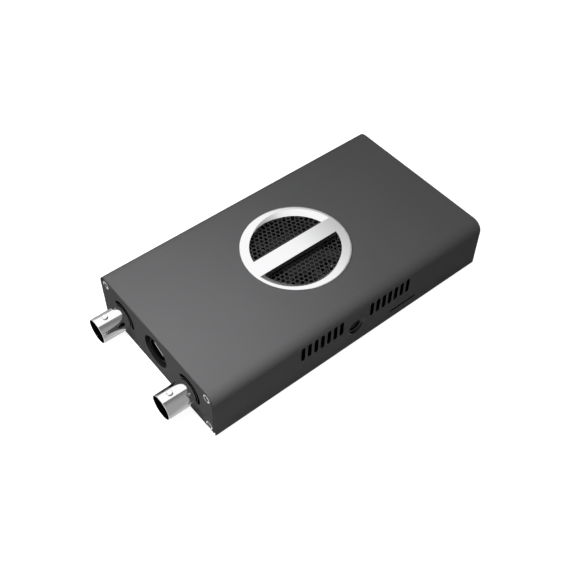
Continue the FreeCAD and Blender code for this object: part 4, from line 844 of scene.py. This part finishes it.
for side in ("left", "right"):
    low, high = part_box("bnc_shell_" + side)
    axis_x, axis_z = (low.x + high.x) / 2, (low.z + high.z) / 2
    tail_low, tail_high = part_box("bnc_insulator_" + side)
    inner_r = (tail_high.x - tail_low.x) / 2
    seat = low.y + bore_depth
    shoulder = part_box("bnc_base_" + side)[0].y
    profile = [(bore_r, seat), (bore_r, low.y + mouth_depth), (mouth_r, low.y), (barrel_r, low.y),
               (barrel_r, shoulder), (tail_r, shoulder), (tail_r, high.y), (inner_r, high.y), (inner_r, seat)]
    bm = turned([(axis_x + r, y, axis_z) for r, y in profile], closed=True, rounded=3, radius=mouth_round,
                segments=3, centre=(axis_x, 0, axis_z), axis=(0, 1, 0), steps=144)
    bmesh.ops.recalc_face_normals(bm, faces=bm.faces)
    # Faces inside the bore take the second material, painted shade that darkens it.
    for face in bm.faces:
        centre = face.calc_center_median()
        off_axis = Vector((centre.x - axis_x, 0, centre.z - axis_z)).length
        face.material_index = int(off_axis < mouth_r - mouth_lip and centre.y < seat + hair)
    lug_spot = Vector((axis_x, low.y + lug_place, axis_z))
    for way in (-1, 1):
        lug = barrel_pin(bm, lug_r, lug_spot, way, lug_tip)
        tip = [e for e in {e for v in lug for e in v.link_edges}
               if all(abs(v.co.z - axis_z) > lug_tip - hair for v in e.verts)]
        bmesh.ops.bevel(bm, geom=tip, offset=lug_round, segments=3, profile=0.5, affect="EDGES", material=-1)
        # Round each lug's root a slightly wider pin in the same near-black makes a dark seam, partly painted
        # shade.
        seam = barrel_pin(bm, seam_r, lug_spot, way, seam_top)
        for face in {f for v in seam for f in v.link_faces}:
            face.material_index = 1
    shell = finished_piece(bm, "bnc_barrel_" + side, nickel)
    shell.data.materials.append(bore_painted_shade)
    crisp(shell, 40)
    shell.modifiers.new("even", "WEIGHTED_NORMAL").weight = 100
    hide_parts("bnc_shell_" + side)
insulator_resin = finish("white_insulator", (0.8, 0.8, 0.79), (0.88, 0.88, 0.87), (0.4, 0.5), patch=200,
                         grain=3000, relief=0.003)
dress(insulator_resin, "bnc_insulator_left", "bnc_insulator_right")
gilt = lined(finish("gilt_contact", (0.8, 0.58, 0.22), (0.88, 0.66, 0.3), (0.15, 0.25), patch=300,
                    grain=4000, relief=0.001, metal=1), (0, 1, 0), scale=8000, share=1.0)
dress(gilt, "bnc_contact_left", "bnc_contact_right", "ethernet_contacts")
die_cast = finish("die_cast_zinc", (0.36, 0.36, 0.37), (0.46, 0.46, 0.47), (0.35, 0.5), patch=150,
                  grain=2500, relief=0.006, metal=1)
for side in ("left", "right"):
    eased_copy("bnc_base_" + side, 0.15, die_cast)

# Light guides beside the jacks. Arcs of dark smoked acrylic, pressed into the plate from behind,
# each with a thin lens that stands a hair proud of it.
smoked = finish("smoked_acrylic", (0.001, 0.001, 0.001), (0.002, 0.002, 0.002), (0.4, 0.5), patch=200,
                grain=3000, relief=0.001, gloss=0.0)
dress(smoked, "light_guide_left", "light_guide_right")
lens_r, lens_half, lens_thick = 5.62 * mm, 0.6 * mm, 0.06 * mm
lens_from, lens_to = radians(-22), radians(142)
for side in ("left", "right"):
    low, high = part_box("bnc_shell_" + side)
    axis = Vector(((low.x + high.x) / 2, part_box("light_guide_" + side)[0].y, (low.z + high.z) / 2))
    bm = bmesh.new()
    bmesh.ops.create_grid(bm, x_segments=1, y_segments=1, size=0.5)
    bmesh.ops.scale(bm, verts=bm.verts, vec=(2 * lens_half, lens_thick, 1))
    bmesh.ops.translate(bm, verts=bm.verts, vec=axis + Vector((lens_r, 0, 0)))
    bmesh.ops.rotate(bm, verts=bm.verts, cent=axis, matrix=Matrix.Rotation(-lens_from, 3, "Y"))
    bmesh.ops.spin(bm, geom=bm.verts[:] + bm.edges[:] + bm.faces[:], cent=axis, axis=(0, -1, 0),
                   angle=lens_to - lens_from, steps=48, use_merge=False, use_duplicate=False)
    for turn in (lens_from, lens_to):
        end = axis + Vector((lens_r * cos(turn), 0, lens_r * sin(turn)))
        bmesh.ops.create_cone(bm, cap_ends=True, segments=24, radius1=lens_half, radius2=lens_half,
                              depth=lens_thick,
                              matrix=Matrix.Translation(end) @ Matrix.Rotation(pi / 2, 4, "X"))
    bmesh.ops.recalc_face_normals(bm, faces=bm.faces)
    lens = finished_piece(bm, "light_lens_" + side, smoked)
    crisp(lens, 30)

# Round multi-pin socket between the jacks: a moulded body, an insert and a metal shield, the last two
# darkened as painted shade, a dark lining of the plate's hole as painted shade, and a bright strip
# across its upper right as a painted highlight.
socket_plastic = finish("socket_plastic", (0.013, 0.013, 0.013), (0.018, 0.018, 0.018), (0.45, 0.55),
                        patch=200, grain=3000, relief=0.003, gloss=0.0)
eased_copy("din_body", 0.1, socket_plastic)
# The insert is a darker copy of the socket plastic, painted shade deep in the socket.
insert_plastic_painted_shade = finish("insert_plastic_painted_shade", (0.003, 0.003, 0.003), (0.005, 0.005, 0.005), (0.45, 0.55),
                        patch=200, grain=3000, relief=0.002, gloss=0.0)
dress(insert_plastic_painted_shade, "din_insert")
tinned = lined(finish("tinned_steel", (0.6, 0.6, 0.6), (0.7, 0.7, 0.7), (0.15, 0.25), patch=250, grain=4000,
                      relief=0.001, metal=1), (0, 1, 0), scale=4000, share=1.0)
# The shield is near-black steel, painted shade that keeps it dark inside the socket.
blackened = lined(finish("shield_steel_painted_shade", (0.012, 0.012, 0.012), (0.02, 0.02, 0.02), (0.3, 0.4),
                         patch=250, grain=4000, relief=0.001, metal=1), (0, 1, 0), scale=4000, share=1.0)
dress(blackened, "din_shield")
hole_r, lining_r, lining_round = 6.6 * mm, 6.25 * mm, 0.1 * mm
plate_y, nose_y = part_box("front_plate")[0].y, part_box("din_body")[0].y
shield_low, shield_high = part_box("din_shield")
socket_middle = Vector((0, plate_y, (shield_low.z + shield_high.z) / 2))
# A dark lining over the wall of the plate's hole, painted shade.
profile = [(lining_r, nose_y), (lining_r, plate_y), (hole_r, plate_y), (hole_r, nose_y)]
bm = turned([(r, y, socket_middle.z) for r, y in profile], closed=True, rounded=1, radius=lining_round,
            segments=2, centre=socket_middle, axis=(0, 1, 0), steps=96)
bmesh.ops.recalc_face_normals(bm, faces=bm.faces)
hole_shade_lining = finished_piece(bm, "socket_hole_shade_lining", socket_plastic)
crisp(hole_shade_lining, 30)
# A bright tinned strip across the hole's upper right, a painted highlight standing in for a glint on its
# edge.
glint_way, glint_away, glint_length = radians(58), 5.25 * mm, 5.6 * mm
glint_width, glint_depth, glint_round = 0.4 * mm, 0.3 * mm, 0.06 * mm
bm = bmesh.new()
bmesh.ops.create_cube(bm, size=1)
bmesh.ops.scale(bm, verts=bm.verts, vec=(glint_width, glint_depth, glint_length))
bmesh.ops.bevel(bm, geom=bm.edges[:], offset=glint_round, segments=2, profile=0.5, affect="EDGES",
                material=-1)
bmesh.ops.translate(bm, verts=bm.verts, vec=(glint_away, glint_depth / 2, 0))
bmesh.ops.rotate(bm, verts=bm.verts, matrix=Matrix.Rotation(-glint_way, 3, "Y"))
bmesh.ops.translate(bm, verts=bm.verts, vec=socket_middle)
glint_strip = finished_piece(bm, "socket_glint_strip", tinned)
glint_strip.modifiers.new("even", "WEIGHTED_NORMAL").weight = 100

# Network socket at the rear. A folded, tinned steel shield round a moulded black block, on the
# board and open to the rear through the plate.
eased_copy("ethernet_shield", 0.1, tinned)
eased_copy("ethernet_insert", 0.12, socket_plastic)

# Power socket at the rear. A folded, tinned steel shell on the board, with a moulded tongue that
# carries its contacts.
dress(tinned, "usb_shell")
eased_copy("usb_tongue", 0.08, socket_plastic)

# Card socket behind the side slot. A folded, tinned steel cover on the board, painted black at its
# mouth behind the slot as painted shade.
card_mouth = 3 * mm
card_cover = eased_copy("card_socket", 0.06, tinned)
# The cover's mouth behind the slot takes the painted shade.
card_cover.data.materials.append(shade)
for face in card_cover.data.polygons:
    face.material_index = int(face.center.x > cad_high.x - card_mouth)

# Status lights at the rear. Three clear moulded pipes lead the light of white chips on the board
# out through the plate.
acrylic = finish("clear_acrylic", (0.8, 0.82, 0.84), (0.86, 0.88, 0.9), (0.05, 0.12), patch=200, grain=3000,
                 relief=0.001)
shader = acrylic.node_tree.nodes["Principled BSDF"]
shader.inputs["Transmission Weight"].default_value = 0.85
shader.inputs["IOR"].default_value = 1.49
dress(acrylic, "status_light_pipes")
phosphor = finish("white_led", (0.75, 0.72, 0.5), (0.85, 0.84, 0.78), (0.3, 0.4), patch=900, grain=3000,
                  relief=0.002)
eased_copy("status_leds", 0.08, phosphor)

# Reset button and its switch at the rear. A black moulded button slides in the plate and presses
# a moulded switch on the board.
button_plastic = finish("button_plastic", (0.02, 0.02, 0.02), (0.03, 0.03, 0.03), (0.3, 0.4), patch=300,
                        grain=3000, relief=0.003)
eased_copy("reset_button", 0.15, button_plastic, "button")
switch_plastic = finish("switch_plastic", (0.03, 0.03, 0.03), (0.045, 0.045, 0.045), (0.45, 0.55),
                        patch=300, grain=3000, relief=0.004)
eased_copy("reset_switch", 0.12, switch_plastic)
